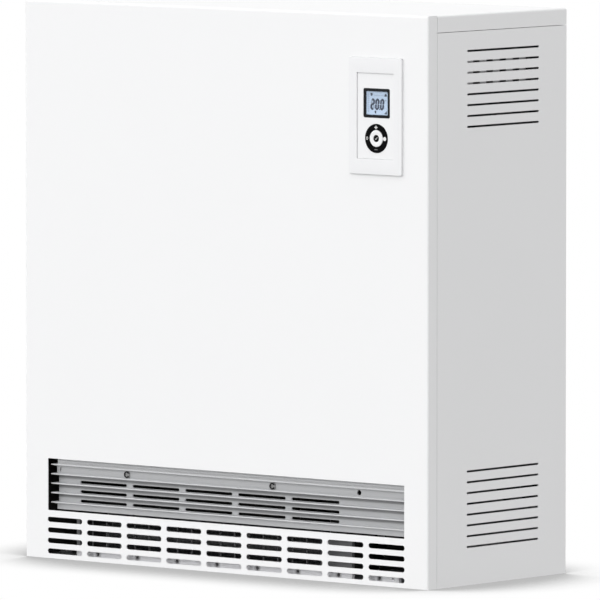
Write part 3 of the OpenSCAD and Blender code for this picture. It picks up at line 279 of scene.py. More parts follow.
class Finish:
    """Node tree of one finish round a Principled shader, read in Object coordinates."""

    def __init__(self, colour, roughness, metallic=0.0):
        self.material = bpy.data.materials.new("finish")
        self.tree = empty_tree(self.material)
        self.shader = self.node("ShaderNodeBsdfPrincipled", {
            "Base Color": (*colour, 1), "Roughness": roughness, "Metallic": metallic})
        self.node("ShaderNodeOutputMaterial", {0: self.shader.outputs[0]})
        self.place = self.node("ShaderNodeTexCoord").outputs["Object"]

    def node(self, kind, values=None, **attributes):
        """New node of this finish."""
        return add_node(self.tree, kind, values, **attributes)

    def math(self, operation, *values):
        """Result of a sum on values or sockets."""
        return self.node("ShaderNodeMath", dict(enumerate(values)), operation=operation).outputs[0]

    def axes(self):
        """The three Object coordinates, by letter."""
        return self.node("ShaderNodeSeparateXYZ", {"Vector": self.place}).outputs

    def ranged(self, value, **ends):
        """The value carried from one range to another."""
        named = {key.replace("_", " ").title(): end for key, end in ends.items()}
        return self.node("ShaderNodeMapRange", {"Value": value, **named}).outputs[0]

    def rise(self, node):
        """0 at the lower edge of a CAD node's box and 1 at its upper edge."""
        lo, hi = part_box(node)
        return self.ranged(self.axes()["Z"], from_min=lo[2], from_max=hi[2])

    def noise(self, per_mm, detail=3.0, stretch=(1, 1, 1), rough=0.5):
        """Noise with the given number of blotches in a millimetre, stretched along the axes."""
        place = self.node("ShaderNodeMapping", {"Vector": self.place, "Scale": stretch})
        return self.node("ShaderNodeTexNoise", {
            "Vector": place.outputs[0], "Scale": per_mm / MM, "Detail": detail,
            "Roughness": rough}).outputs["Fac"]

    def cells(self, per_mm, feature="F1", output="Distance"):
        """Voronoi cells with the given number in a millimetre."""
        return self.node("ShaderNodeTexVoronoi", {
            "Vector": self.place, "Scale": per_mm / MM}, feature=feature).outputs[output]

    def step(self, value, at, soft=0.02):
        """0 below the threshold and 1 above it, with a soft edge."""
        return self.ranged(value, from_min=at - soft, from_max=at + soft)

    def blend(self, value, first, second):
        """Colour from first to second as the value goes from 0 to 1."""
        return self.node("ShaderNodeMix", {"Factor": value, 6: (*first, 1), 7: (*second, 1)},
                         data_type="RGBA").outputs[2]

    def drive(self, name, socket):
        """Links a socket to an input of the shader."""
        self.tree.links.new(socket, self.shader.inputs[name])
        return self

    def colour(self, value, first, second):
        """Paints the surface from first to second by the value."""
        return self.drive("Base Color", self.blend(value, first, second))

    def roughness(self, value, low, high):
        """Spreads the surface's roughness between low and high by the value."""
        return self.drive("Roughness", self.ranged(value, to_min=low, to_max=high))

    def relief(self, height, depth_mm, strength):
        """Bump of the given depth."""
        bump = self.node("ShaderNodeBump", {
            "Height": height, "Strength": strength, "Distance": depth_mm * MM})
        return self.drive("Normal", bump.outputs[0])

    def set(self, **values):
        """Sets constant values on the shader's own sockets."""
        for key, value in values.items():
            self.shader.inputs[key.replace("_", " ")].default_value = value
        return self


def tint(colour, factor):
    """A colour made lighter or darker."""
    return tuple(min(1.0, c * factor) for c in colour)


def mottled(first, second, roughness, metallic=0.0, noise=(1.5, 3.0), spots=None, sheen=None,
            relief=None):
    """Finish whose colour goes from first to second with a noise.

    The noise is given as Finish.noise takes it. With spots, a threshold and its soft edge, second
    lies only where the noise passes it. Sheen spreads the roughness by the same marks, and relief
    lifts them.
    """
    middle = tuple((a + b) / 2 for a, b in zip(first, second))
    finish = Finish(middle, roughness, metallic)
    marks = finish.noise(*noise)
    if spots:
        marks = finish.step(marks, *spots)
    finish.colour(marks, first, second)
    if sheen:
        finish.roughness(marks, *sheen)
    if relief:
        finish.relief(marks, *relief)
    return finish


def moulding(base, roughness, grain=1.8, specular=0.45):
    """Moulded plastic: an eroded-tool texture and a barely uneven colour."""
    finish = mottled(tint(base, 0.985), tint(base, 1.01), roughness, noise=(0.03, 2.0))
    return finish.relief(finish.noise(grain, 2.0), 0.012, 0.4).set(Specular_IOR_Level=specular)


def casing_powder_coat():
    """White powder coat with a fine orange peel and a barely uneven sheen."""
    paint = settings()[0].paint
    finish = mottled(tint(paint, 0.992), tint(paint, 1.006), 0.42, noise=(0.006, 2.0))
    finish.roughness(finish.noise(0.4, 2.0), 0.38, 0.48)
    return finish.relief(finish.noise(0.9, 2.0), 0.02, 0.35).set(Specular_IOR_Level=0.4)


def galvanised_sheet():
    """Zinc-coated sheet: spangles a centimetre across, each with its own grey."""
    finish = Finish((0.52, 0.53, 0.54), 0.4, 0.85)
    spangle = finish.cells(0.09, output="Color")
    grey = finish.node("ShaderNodeSeparateColor", {"Color": spangle}).outputs[0]
    finish.colour(grey, (0.44, 0.45, 0.46), (0.62, 0.63, 0.64)).roughness(grey, 0.3, 0.5)
    return finish.relief(finish.noise(0.6, 4.0), 0.01, 0.4)


def storage_brick():
    """Dense dark brick of iron ore with rust-brown grains and open pores."""
    finish = mottled((0.05, 0.035, 0.03), (0.17, 0.1, 0.075), 0.9,
                     noise=(0.5, 6.0, (1, 1, 1), 0.7))
    return finish.relief(finish.cells(0.35), 0.35, 0.6)


def element_tube():
    """Heat-tinted nickel steel tube, blue-grey with brown stretches."""
    finish = mottled((0.12, 0.13, 0.17), (0.24, 0.17, 0.12), 0.45, 0.9, (0.02, 3.0))
    return finish.roughness(finish.noise(1.2, 2.0), 0.35, 0.55)


def steatite():
    """Glazed ivory ceramic with faint specks."""
    finish = mottled((0.8, 0.76, 0.66), (0.55, 0.48, 0.38), 0.3, noise=(1.5, 2.0), spots=(0.68,))
    return finish.set(Coat_Weight=0.4, Coat_Roughness=0.15)


def motor_lacquer():
    """Black lacquer over the motor's stacked sheets, which show as sine bands across X."""
    finish = Finish((0.02, 0.02, 0.022), 0.4)
    bands = finish.node("ShaderNodeTexWave", {"Vector": finish.place, "Scale": 0.32 / MM},
                        bands_direction="X")
    finish.relief(bands.outputs["Fac"], 0.12, 0.6)
    return finish.roughness(finish.noise(0.6, 3.0), 0.32, 0.55)


# Drain holes of the filter's rail: the first one's place, their pitch and their height.
DRAIN_AT, DRAIN_PITCH, DRAIN_UP = -260.6 * MM, 60.5 * MM, 7.9 * MM
RAIL_TOP = 13.6 * MM


def filter_frame_plastic():
    """Light grey polypropylene of the lint filter's frame.

    All above the rail is painted dark as shade, and round stains lie about the drain holes. The
    distance to the nearest hole is that across, wrapped by the holes' pitch, and that up, taken
    together.
    """
    base = tuple(settings()[0].filter_frame)
    finish = Finish(base, 0.55)
    axes = finish.axes()
    # Painted shade: all of the frame above its rail is darkened.
    painted_shade_above_rail = finish.step(axes["Z"], RAIL_TOP, 0.3 * MM)
    across = finish.math("WRAP", axes["X"], DRAIN_AT - DRAIN_PITCH / 2, DRAIN_AT + DRAIN_PITCH / 2)
    flat = finish.node("ShaderNodeCombineXYZ", {
        "X": finish.math("SUBTRACT", across, DRAIN_AT),
        "Y": finish.math("SUBTRACT", axes["Z"], DRAIN_UP)})
    reach = finish.node("ShaderNodeVectorMath", {0: flat.outputs[0]}, operation="LENGTH")
    stain = finish.ranged(reach.outputs["Value"], from_min=2.4 * MM, from_max=5.6 * MM,
                          to_min=0.6, to_max=0.0)
    # The dark colour serves both the painted shade above the rail and the stains round the holes.
    finish.colour(finish.math("MAXIMUM", painted_shade_above_rail, stain), base, tint(base, 0.17))
    return finish.relief(finish.noise(2.5, 2.0), 0.02, 0.5)


# The grille's section in mm over its lower edge: from one fin's nose to the next, the lowest
# nose's foot, and the height of a nose.
FIN_PITCH, NOSE_UP, NOSE = 11.05, 7.3, 1.6
FINS = 5


def fin_painted_shade_and_highlights():
    """Tone by height over the grille's lower edge in mm, one fin pitch after another.

    Every nose carries a painted highlight, and so do the lower lip and the upper edge of the
    section.
    Under each of the three middle fins lies a painted shadow, 3.2 mm high, that fades out
    downwards over 2 mm. The top channel is painted a little darker as shade.
    """
    stops = [(0.0, 1.15), (NOSE_UP - 0.4, 1.15)]
    for fin in range(FINS):
        nose = NOSE_UP + fin * FIN_PITCH
        if 0 < fin < FINS - 1:
            stops += [(nose - 5.3, 1.0), (nose - 3.2, 0.48), (nose - 0.25, 0.5)]
        stops += [(nose, 1.3), (nose + NOSE, 1.3), (nose + NOSE + 0.4, 1.0 if fin < 3 else 0.85)]
    return sorted(stops + [(nose - 3.5, 1.0), (nose - 0.3, 0.85), (nose + 5.5, 1.05),
                           (nose + 10.2, 1.3)])


def anodised_extrusion():
    """Natural anodised aluminium: drawn lines along its length, a soft sheen, and painted shade
    and highlights across the fins.
    """
    base = tuple(settings()[0].grille)
    finish = Finish(base, 0.45, 0.2)
    lines = finish.noise(1.6, 4.0, (0.012, 1, 1))
    lo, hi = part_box("outlet_grille")
    # Painted shadows under the middle fins and painted highlights on the noses, lips and upper
    # edge, laid on by height.
    ramp = finish.node("ShaderNodeValToRGB", {"Fac": finish.rise("outlet_grille")})
    tones = fin_painted_shade_and_highlights()
    brightest = max(tone for _, tone in tones)
    stops = ramp.color_ramp.elements
    for index, (over, tone) in enumerate(tones):
        place = over * MM / (hi[2] - lo[2])
        stop = stops[index] if index < 2 else stops.new(place)
        stop.position = place
        stop.color = (*([tone / brightest] * 3), 1)
    whole = tint(base, brightest)
    painted_tones = finish.node("ShaderNodeMix", {
        "Factor": 1.0, 6: finish.blend(lines, tint(whole, 0.93), tint(whole, 1.06)),
        7: ramp.outputs["Color"]}, data_type="RGBA", blend_type="MULTIPLY")
    finish.drive("Base Color", painted_tones.outputs[2])
    return finish.roughness(lines, 0.38, 0.52).relief(lines, 0.01, 0.3)


def solder_mask():
    """Green circuit board: darker tracks on a regular grid and tinned pads."""
    finish = Finish((0.02, 0.16, 0.07), 0.35)
    tracks = finish.step(finish.cells(0.28, "DISTANCE_TO_EDGE"), 0.12, 0.03)
    return finish.colour(tracks, (0.03, 0.22, 0.1), (0.012, 0.12, 0.05)).relief(tracks, 0.035, 0.6)


def display_frame_gloss():
    """Gloss-black frame printed round the display's window."""
    finish = Finish((0.003, 0.004, 0.006), 0.22)
    return finish.roughness(finish.noise(0.2, 2.0), 0.18, 0.3).set(Specular_IOR_Level=0.2)


def grommet_rubber():
    """Matt black rubber with talc in its pores."""
    finish = mottled((0.022, 0.022, 0.022), (0.08, 0.08, 0.078), 0.8, noise=(1.2, 4.0),
                     spots=(0.64, 0.05))
    return finish.relief(finish.noise(2.0, 3.0), 0.03, 0.5)


def display_light():
    """Lit display: pale blue, a little deeper towards the top, over the cells of its diffuser."""
    base = tuple(settings()[0].display)
    finish = Finish(base, 0.5)
    finish.colour(finish.rise("display_panel"), tint(base, 1.14), tint(base, 0.88))
    return finish.relief(finish.cells(1.6), 0.01, 0.3)


def display_window():
    """Clear window of the display with a faint grey of its own."""
    finish = Finish((0.9, 0.93, 0.96), 0.06)
    finish.roughness(finish.noise(0.3, 2.0), 0.04, 0.1)
    return finish.set(Alpha=0.03, Specular_IOR_Level=0.2)


def segment_ink():
    """Dark blue of the display's driven segments."""
    base = settings()[0].segments
    return mottled(tint(base, 0.8), tint(base, 1.3), 0.6, noise=(0.4, 2.0))


def white_moulding():
    """White plastic of the fascia, the centre key and the switchgear."""
    return moulding(tuple(settings()[0].mouldings), 0.38)


def red_moulding():
    """Red plastic of the limiter's reset button."""
    return moulding((0.55, 0.02, 0.015), 0.35)


def black_moulding():
    """Black plastic of the ring of keys."""
    return moulding((0.003, 0.003, 0.0035), 0.6, specular=0.04)


def bezel_moulding():
    """White plastic of the bezel, a shade darker than the fascia."""
    return moulding(tuple(settings()[0].bezel), 0.4)


def bezel_wall_painted_shade():
    """Walls round the bezel and its window: the same plastic painted a little darker as shade,
    with a coarser, duller texture.
    """
    return moulding(tint(settings()[0].bezel, 0.93), 0.55, grain=1.2)


def bezel_upper_wall_painted_shade():
    """Upward walls of the bezel: the same plastic painted much darker as shade."""
    return moulding(tint(settings()[0].bezel, 0.62), 0.7, grain=1.2)


# Finishes that need no more than a noise, as mottled takes them: first and second colour,
# roughness, metallic, noise, spots, sheen and relief.
MOTTLED = {
    # Bright cold-rolled sheet with fine marks along its length.
    "rolled_sheet": ((0.54, 0.54, 0.55), (0.66, 0.66, 0.67), 0.32, 1.0,
                     (0.5, 4.0, (0.04, 1, 1)), None, (0.25, 0.42)),
    # Sheet of the outlet duct and round the core, painted near black as the shade inside the
    # casing.
    "sheet_painted_dark": ((0.02, 0.02, 0.02), (0.055, 0.05, 0.045), 0.6, 0.3, (0.04, 4.0), None,
                     (0.5, 0.75)),
    # Pressed cream board of mineral fibre, matt and slightly pitted.
    "insulation_board": ((0.56, 0.48, 0.34), (0.74, 0.67, 0.52), 0.95, 0.0,
                         (0.8, 6.0, (0.25, 1, 1), 0.7), None, None, (0.4, 0.8)),
    # Thin rolled aluminium of the impeller with marks round its length.
    "fan_aluminium": ((0.62, 0.62, 0.63), (0.76, 0.76, 0.77), 0.3, 1.0,
                      (0.9, 3.0, (1, 0.05, 0.05)), None, (0.24, 0.4)),
    # Oil-filled bronze with the pores of sintered metal.
    "sintered_bronze": ((0.22, 0.13, 0.06), (0.5, 0.31, 0.14), 0.45, 0.9, (3.0, 2.0), (0.4,),
                        None, (0.05, 0.5)),
    # Rolled bimetal: brassy grey with fine lengthwise marks.
    "bimetal": ((0.42, 0.37, 0.27), (0.58, 0.53, 0.41), 0.35, 0.95, (1.2, 3.0, (1, 1, 0.06))),
    # Black polyester thread with a little lint on it.
    "gauze_thread": ((0.016, 0.016, 0.018), (0.07, 0.07, 0.068), 0.7, 0.0, (0.25, 4.0),
                     (0.66, 0.06)),
    # Zinc-plated steel of the screws, shafts and lever.
    "fastener_steel": ((0.55, 0.55, 0.52), (0.7, 0.7, 0.68), 0.3, 1.0, (2.0, 3.0)),
    # Dull grey zinc of the grille's fasteners.
    "lock_steel": ((0.25, 0.25, 0.25), (0.36, 0.36, 0.36), 0.5, 0.3),
    # Near-black rings round the grille's fasteners: painted shade for the gap round each head,
    # lighter in spots.
    "ring_painted_shade": ((0.012, 0.012, 0.013), (0.06, 0.06, 0.062), 0.4, 0.4, (1.5, 3.0),
                        (0.7, 0.05)),
    # Dark grey nylon of the levelling feet and the plugs, scuffed.
    "foot_plastic": ((0.07, 0.07, 0.075), (0.14, 0.14, 0.145), 0.6, 0.0,
                     (0.4, 5.0, (1, 1, 1), 0.7)),
    # Faint blue of the display's undriven segments.
    "ghost_ink": ((0.28, 0.36, 0.48), (0.33, 0.41, 0.53), 0.6, 0.0, (0.4, 2.0)),
    # Light print of the signs on the keys, and grey print of the lowest one.
    "sign_print": ((0.74, 0.74, 0.74), (0.84, 0.84, 0.84), 0.5),
    "faint_print": ((0.13, 0.13, 0.135), (0.19, 0.19, 0.195), 0.5),
}
READY = {}


def finish_of(kind):
    """The material of a finish, made once: by its function, or by its name in MOTTLED."""
    name = kind if kind in MOTTLED else kind.__name__
    if name not in READY:
        finish = mottled(*MOTTLED[kind]) if kind in MOTTLED else kind()
        finish.material.name = name
        READY[name] = finish.material
    return READY[name]


NODE_FINISHES = {
    casing_powder_coat: ("front_panel", "top_cover", "left_panel", "right_panel"),
    galvanised_sheet: ("base_pan", "rear_panel", "core_lid", "control_plate"),
    "rolled_sheet": ("fan_housing", "side_baffle"),
    # Inner sheets painted near black: painted shade inside the casing.
    "sheet_painted_dark": ("outlet_duct", "mixing_flap", "core_jacket", "inner_front_wall"),
    "insulation_board": ("insulation_floor", "insulation_rear", "insulation_front",
                         "insulation_left", "insulation_right", "insulation_top"),
    storage_brick: ("brick_row_1", "brick_row_2", "brick_row_3", "brick_row_4"),
    element_tube: ("heating_element_1", "heating_element_2", "heating_element_3"),
    steatite: ("element_bushes",),
    "fan_aluminium": ("fan_impeller",),
    "sintered_bronze": ("fan_bearing",),
    motor_lacquer: ("fan_motor",),
    "bimetal": ("bimetal_strip",),
    filter_frame_plastic: ("lint_filter_frame",),
    anodised_extrusion: ("outlet_grille",),
    "fastener_steel": ("case_screws", "fan_shaft", "flap_shaft", "flap_lever", "core_sensor"),
    "lock_steel": ("grille_lock_left", "grille_lock_right"),
    solder_mask: ("control_board", "controller_board"),
    white_moulding: ("controller_fascia", "key_ok", "charge_relay", "terminal_block",
                     "safety_limiter"),
    red_moulding: ("limiter_button",),
    black_moulding: ("key_up", "key_down", "key_left", "key_right"),
    grommet_rubber: ("cable_grommets",),
    "foot_plastic": ("feet",),
    display_light: ("display_panel",),
    display_window: ("display_glass",),
}


# ---- Operators


class HEATER_OT_node_finishes(bpy.types.Operator):
    """Give every CAD node that stays its finish"""

    bl_idname = "heater.node_finishes"
    bl_label = "Finish the Sheet Metal and the Inner Parts"

    def execute(self, context):
        for kind, nodes in NODE_FINISHES.items():
            for name in nodes:
                mesh = NODES[name].data
                mesh.materials.clear()
                mesh.materials.append(finish_of(kind))
        return {"FINISHED"}


def rounded_edge(half_w, half_h, corner, face, edge, steps=7, shrink=0.0, inner=False):
    """Stations for lofted_frame along a quarter circle between a wall and a face.

    An outer edge goes from the wall to the face: the outline draws in by one less the cosine of
    the turn and nears the face by the sine, in units of the edge's radius. An inner edge goes from
    the face down into the opening, with both swapped. The corners' radius goes along by a share.
    """
    turn = np.radians(np.linspace(0, 90, steps))
    across, deep = edge * (1 - np.cos(turn)), edge * (1 - np.sin(turn))
    if inner:
        across, deep = -deep, across
    return [(half_w - a, half_h - a, corner - a * shrink, face + d)
            for a, d in zip(across, deep)]


class HEATER_OT_bezel(bpy.types.Operator):
    """Build the controller's raised bezel with rounded edges"""

    bl_idname = "heater.bezel"
    bl_label = "Bezel"

    def execute(self, context):
        lo, hi = box_mm("controller_bezel")
        window_lo, window_hi = box_mm("controller_fascia")
        half_w, _, half_h = (hi - lo) / 2
        face, back = lo[1], hi[1]
        sheet_face = box_mm("front_panel")[0][1]
        collar = 4.15
        open_w, open_h = 27.0, 48.7
        pocket_y = window_lo[1] + 2.1
        pocket_w, _, pocket_h = (window_hi - window_lo) / 2 + 0.15
        # From the sheet round the outer edge, across the face and down into the window.
        stations = [
            (half_w, half_h, 2.0, sheet_face),
            *rounded_edge(half_w, half_h, 2.0, face, settings()[1].bezel_round / MM, shrink=0.8),
            *rounded_edge(open_w, open_h, 1.0, face, 0.35, shrink=1.0, inner=True),
            (open_w, open_h, 1.0, pocket_y), (pocket_w, pocket_h, 1.0, pocket_y),
            (pocket_w, pocket_h, 1.0, back), (half_w - collar, half_h - collar, 1.0, back),
            (half_w - collar, half_h - collar, 1.0, sheet_face)]
        shape = Surface().add(lofted_frame(stations, (lo + hi) / 2), ring=True)
        made = shape.piece("bezel", "casing", "white_plastic", bezel_moulding, bezel_wall_painted_shade,
                           bezel_upper_wall_painted_shade)
        facing = np.zeros(len(made.data.polygons) * 3)
        made.data.polygons.foreach_get("normal", facing)
        facing = facing.reshape(-1, 3)
        # 0 the face, 1 the walls, painted darker as shade, 2 the walls that look up, painted
        # darker still as shade.
        walls = (np.abs(facing[:, 1]) < 0.6).astype(np.int32) + (facing[:, 2] > 0.45)
        made.data.polygons.foreach_set("material_index", walls.astype(np.int32))
        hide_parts("controller_bezel")
        return {"FINISHED"}


class HEATER_OT_display_frame(bpy.types.Operator):
    """Build the gloss-black frame round the display's window"""

    bl_idname = "heater.display_frame"
    bl_label = "Display Frame"

    def execute(self, context):
        lo, hi = box_mm("display_frame")
        glass_lo, glass_hi = box_mm("display_glass")
        half_w, _, half_h = (hi - lo) / 2
        open_w, _, open_h = (glass_hi - glass_lo) / 2 + 0.15
        stations = [(half_w, half_h, 2.4, hi[1]),
                    *rounded_edge(half_w, half_h, 2.4, lo[1], 0.3, 5),
                    *rounded_edge(open_w, open_h, 1.2, lo[1], 0.3, 5, inner=True),
                    (open_w, open_h, 1.2, hi[1])]
        shape = Surface().add(lofted_frame(stations, (lo + hi) / 2), ring=True)
        made = shape.piece("display_surround", "casing", "black_plastic", display_frame_gloss)
        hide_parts("display_frame")
        return {"FINISHED"}


# Bars of a seven-segment digit: top, upper right, lower right, bottom, lower left, upper left
# and middle, as ends in units of the digit's half width and half height.
BARS = np.array([[[-1, 1], [1, 1]], [[1, 1], [1, 0]], [[1, 0], [1, -1]], [[-1, -1], [1, -1]],
                 [[-1, 0], [-1, -1]], [[-1, 1], [-1, 0]], [[-1, 0], [1, 0]]], float)
LIT = {"2": (0, 1, 3, 4, 6), "0": (0, 1, 2, 3, 4, 5)}

# Small signs of the display: outline in mm, and place across and down in the window.
SIGNS = (
    (1.4 * np.array([[-1.1, 1.1], [0.9, 1.1], [1.2, 0], [0.5, -1.1], [-0.7, -1.1], [-1.2, 0]]),
     7.6, 3.6),
    (1.4 * np.array([[-1.2, -1.1], [1.2, -1.1], [1.2, 0.3], [0, 1.3], [-1.2, 0.3]]), 28.2, 3.9),
    (1.25 * np.array([[0, 1.6], [1.3, -0.1], [0.7, -0.1], [0.7, -1.4], [-0.7, -1.4],
                      [-0.7, -0.1], [-1.3, -0.1]]), 13.2, 23.3),
)


def segment_outline(start, end, width, gap):
    """Six-cornered bar between two points, pointed at both ends and short of them by a gap."""
    along = (end - start) / np.linalg.norm(end - start)
    aside = np.array([-along[1], along[0]]) * width / 2
    a, b = start + along * gap, end - along * gap
    shoulder = along * width / 2
    return np.array([a, a + shoulder + aside, b - shoulder + aside, b, b - shoulder - aside,
                     a + shoulder - aside])


def block(half_w, low, high):
    """Outline of an upright rectangle about x = 0."""
    return np.array([[-half_w, low], [half_w, low], [half_w, high], [-half_w, high]])


class HEATER_OT_display_segments(bpy.types.Operator):
    """Build the display's temperature digits and small signs behind its window"""

    bl_idname = "heater.display_segments"
    bl_label = "Display Segments"

    def execute(self, context):
        controls = settings()[1]
        lo, hi = box_mm("display_glass")
        back = box_mm("display_panel")[0][1]
        half = np.array([controls.digit_width, controls.digit_height]) / MM / 2
        slant, pen, overlap = 0.09, 2.6, 0.3
        lit, ghost = Surface(), Surface()

        def at(u, v):
            """Point in the window from its upper left corner."""
            return np.array([lo[0] + u, hi[2] - v])

        def ink(surface, outline):
            """Lays an outline on the lit panel as a thin plate."""
            surface.add(extruded(outline, back - 0.12, back + 0.01))

        # Digits: bars between the corners of a slanted box.
        for sign, u in (("2", 9.2), ("0", 15.9), ("0", 23.0)):
            corners = BARS * (half - pen / 2)
            corners[..., 0] += corners[..., 1] * slant
            corners += at(u, 14.6)
            for index, (start, end) in enumerate(corners):
                ink(lit if index in LIT[sign] else ghost,
                    segment_outline(start, end, pen, -overlap))
        # Decimal point, degree mark, the small signs and three rising bars.
        ink(lit, arc(at(19.4, 20.2), 0.7, 0, 345, 24))
        ink(ghost, arc(at(28.3, 9.9), 0.95, 0, 345, 24))
        for outline, u, v in SIGNS:
            ink(lit, outline + at(u, v))
        for step in range(3):
            ink(lit, at(27.2 + step * 1.2, 24.2) + 1.3 * block(0.35, -1, 0.2 + step * 0.7))
        # Faint scale down the left side and faint line under the upper signs.
        for step in range(9):
            ink(ghost, at(3.2, 3.4 + step * 2.4) + block(0.8, -0.7, 0.7))
        for step in range(6):
            ink(ghost, at(11.8 + step * 2.5, 4.6) + block(0.9, -0.35, 0.35))
        lit.piece("display_digits", "casing", "display_panel", segment_ink)
        ghost.piece("display_ghosts", "casing", "display_panel", "ghost_ink")
        return {"FINISHED"}


def domed_sector(middle, angle, inner, outer, gap, face, skirt, dome, steps=(15, 33)):
    """Cap over a quarter of a ring: its height follows a rounded edge and a low dome.

    The two parameters run across and along the ring. The rise is the dome times the product of
    one minus the fourth power of both, each counted from -1 to 1. The back is the same grid laid
    flat at the skirt's depth, joined as one closed ring of rows.
    """
    v, u = np.meshgrid(np.linspace(-1, 1, steps[0]), np.linspace(-1, 1, steps[1]))
    radius = (inner + outer) / 2 + v * (outer - inner) / 2
    reach = math.pi / 4 - np.arcsin(gap / radius)
    theta = math.radians(angle) + u * reach
    x = middle[0] + radius * np.cos(theta)
    z = middle[2] + radius * np.sin(theta)
    y = face - dome * np.sqrt((1 - u ** 8) * (1 - v ** 4))
    front = np.stack([x, y, z], -1)
    back = np.stack([x, np.full_like(y, skirt), z], -1)[:, ::-1]
    return np.concatenate([front, back], axis=1)


KEY_ANGLES = {"up": 90, "down": -90, "left": 180, "right": 0}


class HEATER_OT_ring_keys(bpy.types.Operator):
    """Build the domed caps of the four ring keys and the signs on them"""

    bl_idname = "heater.ring_keys"
    bl_label = "Ring Keys"

    def execute(self, context):
        dome = settings()[1].dome / MM
        lo, hi = box_mm("key_ok")
        middle = (lo + hi) / 2
        inner = (hi[0] - lo[0]) / 2 + 0.2
        outer = box_mm("key_right")[1][0] - middle[0] - 1.0
        face = box_mm("key_up")[0][1]
        sign_r = 12.6

        def sign(name, kind, *outlines):
            """Raised print on a cap, its outlines given round the middle of the cap."""
            angle = math.radians(KEY_ANGLES[name])
            centre = middle[[0, 2]] + sign_r * np.array([math.cos(angle), math.sin(angle)])
            surface = Surface()
            for outline in outlines:
                surface.add(extruded(np.asarray(outline) + centre, face - dome - 0.06,
                                     face - dome + 0.25))
            surface.piece(f"sign_{name}", f"key_{name}", "white_plastic", kind)

        for name, angle in KEY_ANGLES.items():
            cap = Surface().add(domed_sector(middle, angle, inner, outer, 0.2, face,
                                             face + 0.2, dome))
            cap.piece(f"cap_{name}", f"key_{name}", "black_plastic", black_moulding)
        bar = np.array([[-2.2, 0], [2.2, 0]])
        upright = np.array([[0, -1.9], [0, 1.9]])
        sign("up", "sign_print", stroke(bar, 1.1), stroke(upright, 1.3))
        sign("down", "faint_print", stroke(bar, 0.9))
        sign("left", "sign_print", stroke(arc((-1.4, 0), 2.1, -60, 60), 0.6),
             stroke(arc((-2.9, 0), 2.1, -50, 50), 0.6))
        sign("right", "sign_print", arc((0, 0), 2.3, 0, 352, 40))
        return {"FINISHED"}


class HEATER_OT_centre_key(bpy.types.Operator):
    """Build the centre key's domed white cap, its black inlay and the tick on it"""

    bl_idname = "heater.centre_key"
    bl_label = "Centre Key"

    def execute(self, context):
        dome = settings()[1].dome / MM
        lo, hi = box_mm("key_ok")
        middle = (lo + hi) / 2
        radius = (hi[0] - lo[0]) / 2
        face = lo[1]
        inlay = 4.1
        # Cap: a quarter-round edge and a shallow fall towards the inlay.
        edge = 0.5
        turn = np.radians(np.linspace(0, 90, 7))
        profile = [(radius, face + 0.2),
                   *((radius - edge * (1 - math.cos(a)), face + 0.1 - dome * math.sin(a))
                     for a in turn),
                   (inlay + 0.3, face - dome), (inlay + 0.05, face - dome + 0.15),
                   (inlay, face + 0.2)]
        Surface().add(turned(profile, middle), ring=True).piece(
            "cap_centre", "key_ok", "white_plastic", white_moulding)
        disc = [(0.2, face - 0.22), (inlay - 0.5, face - 0.2), (inlay - 0.12, face - 0.12),
                (inlay - 0.05, face + 0.1)]
        Surface().add(turned(disc, middle)).piece(
            "inlay_centre", "key_ok", "black_plastic", black_moulding)
        tick = middle[[0, 2]] + np.array([[-1.7, 0.1], [-0.5, -1.3], [1.9, 1.6]])
        Surface().add(extruded(stroke(tick, 0.65), face - 0.28, face - 0.1)).piece(
            "sign_tick", "key_ok", "white_plastic", "sign_print")
        return {"FINISHED"}


class HEATER_OT_snap_rings(bpy.types.Operator):
    """Build the open near-black rings round the grille's fasteners, painted shade for the gap
    round each head
    """

    bl_idname = "heater.snap_rings"
    bl_label = "Snap Rings"

    def execute(self, context):
        tube = 0.85
        for side in ("left", "right"):
            lo, hi = box_mm(f"grille_lock_{side}")
            head = (lo + hi) / 2
            radius = (hi[0] - lo[0]) / 2 - tube
            along = np.radians(np.linspace(28, 332, 49))[:, None]
            round_ = np.linspace(0, 2 * math.pi, 10, endpoint=False)[None]
            reach = radius + tube * np.cos(round_)
            grid = np.stack([head[0] + reach * np.cos(along),
                             lo[1] - tube * 0.4 + tube * np.sin(round_) + 0 * along,
                             head[2] + reach * np.sin(along)], -1)
            Surface().add(grid).piece(f"snap_ring_{side}", f"lock_{side}", "lock_steel",
                                      "ring_painted_shade")
        return {"FINISHED"}


class HEATER_OT_brow_end(bpy.types.Operator):
    """Close the right end of the grille's brow with its own section"""

    bl_idname = "heater.brow_end"
    bl_label = "Brow End"

    def execute(self, context):
        lo, hi = box_mm("outlet_grille")
        front, top = lo[1] + 0.5, hi[2]
        foot = top - 10.25
        wall, deep, rib, pitch = 1.5, 9.0, 0.5, 2.6
        # Section from the leg's back down the face: an L whose face swells into two half rounds.
        bend = np.radians(np.linspace(90, -90, 7))
        ribs = [(front - rib * math.cos(a), foot + 0.85 + index * pitch + rib * math.sin(a))
                for index in (2, 1) for a in bend]
        section = [(front + wall + deep, top), (front, top), *ribs, (front, foot),
                   (front + wall, foot), (front + wall, top - wall),
                   (front + wall + deep, top - wall)]
        rows = [[(x, y, z) for y, z in section] for x in (hi[0] - 10.0, hi[0] - 0.2)]
        Surface().add(rows).piece("brow_end", "casing", "grille_aluminium",
                                  anodised_extrusion)
        return {"FINISHED"}


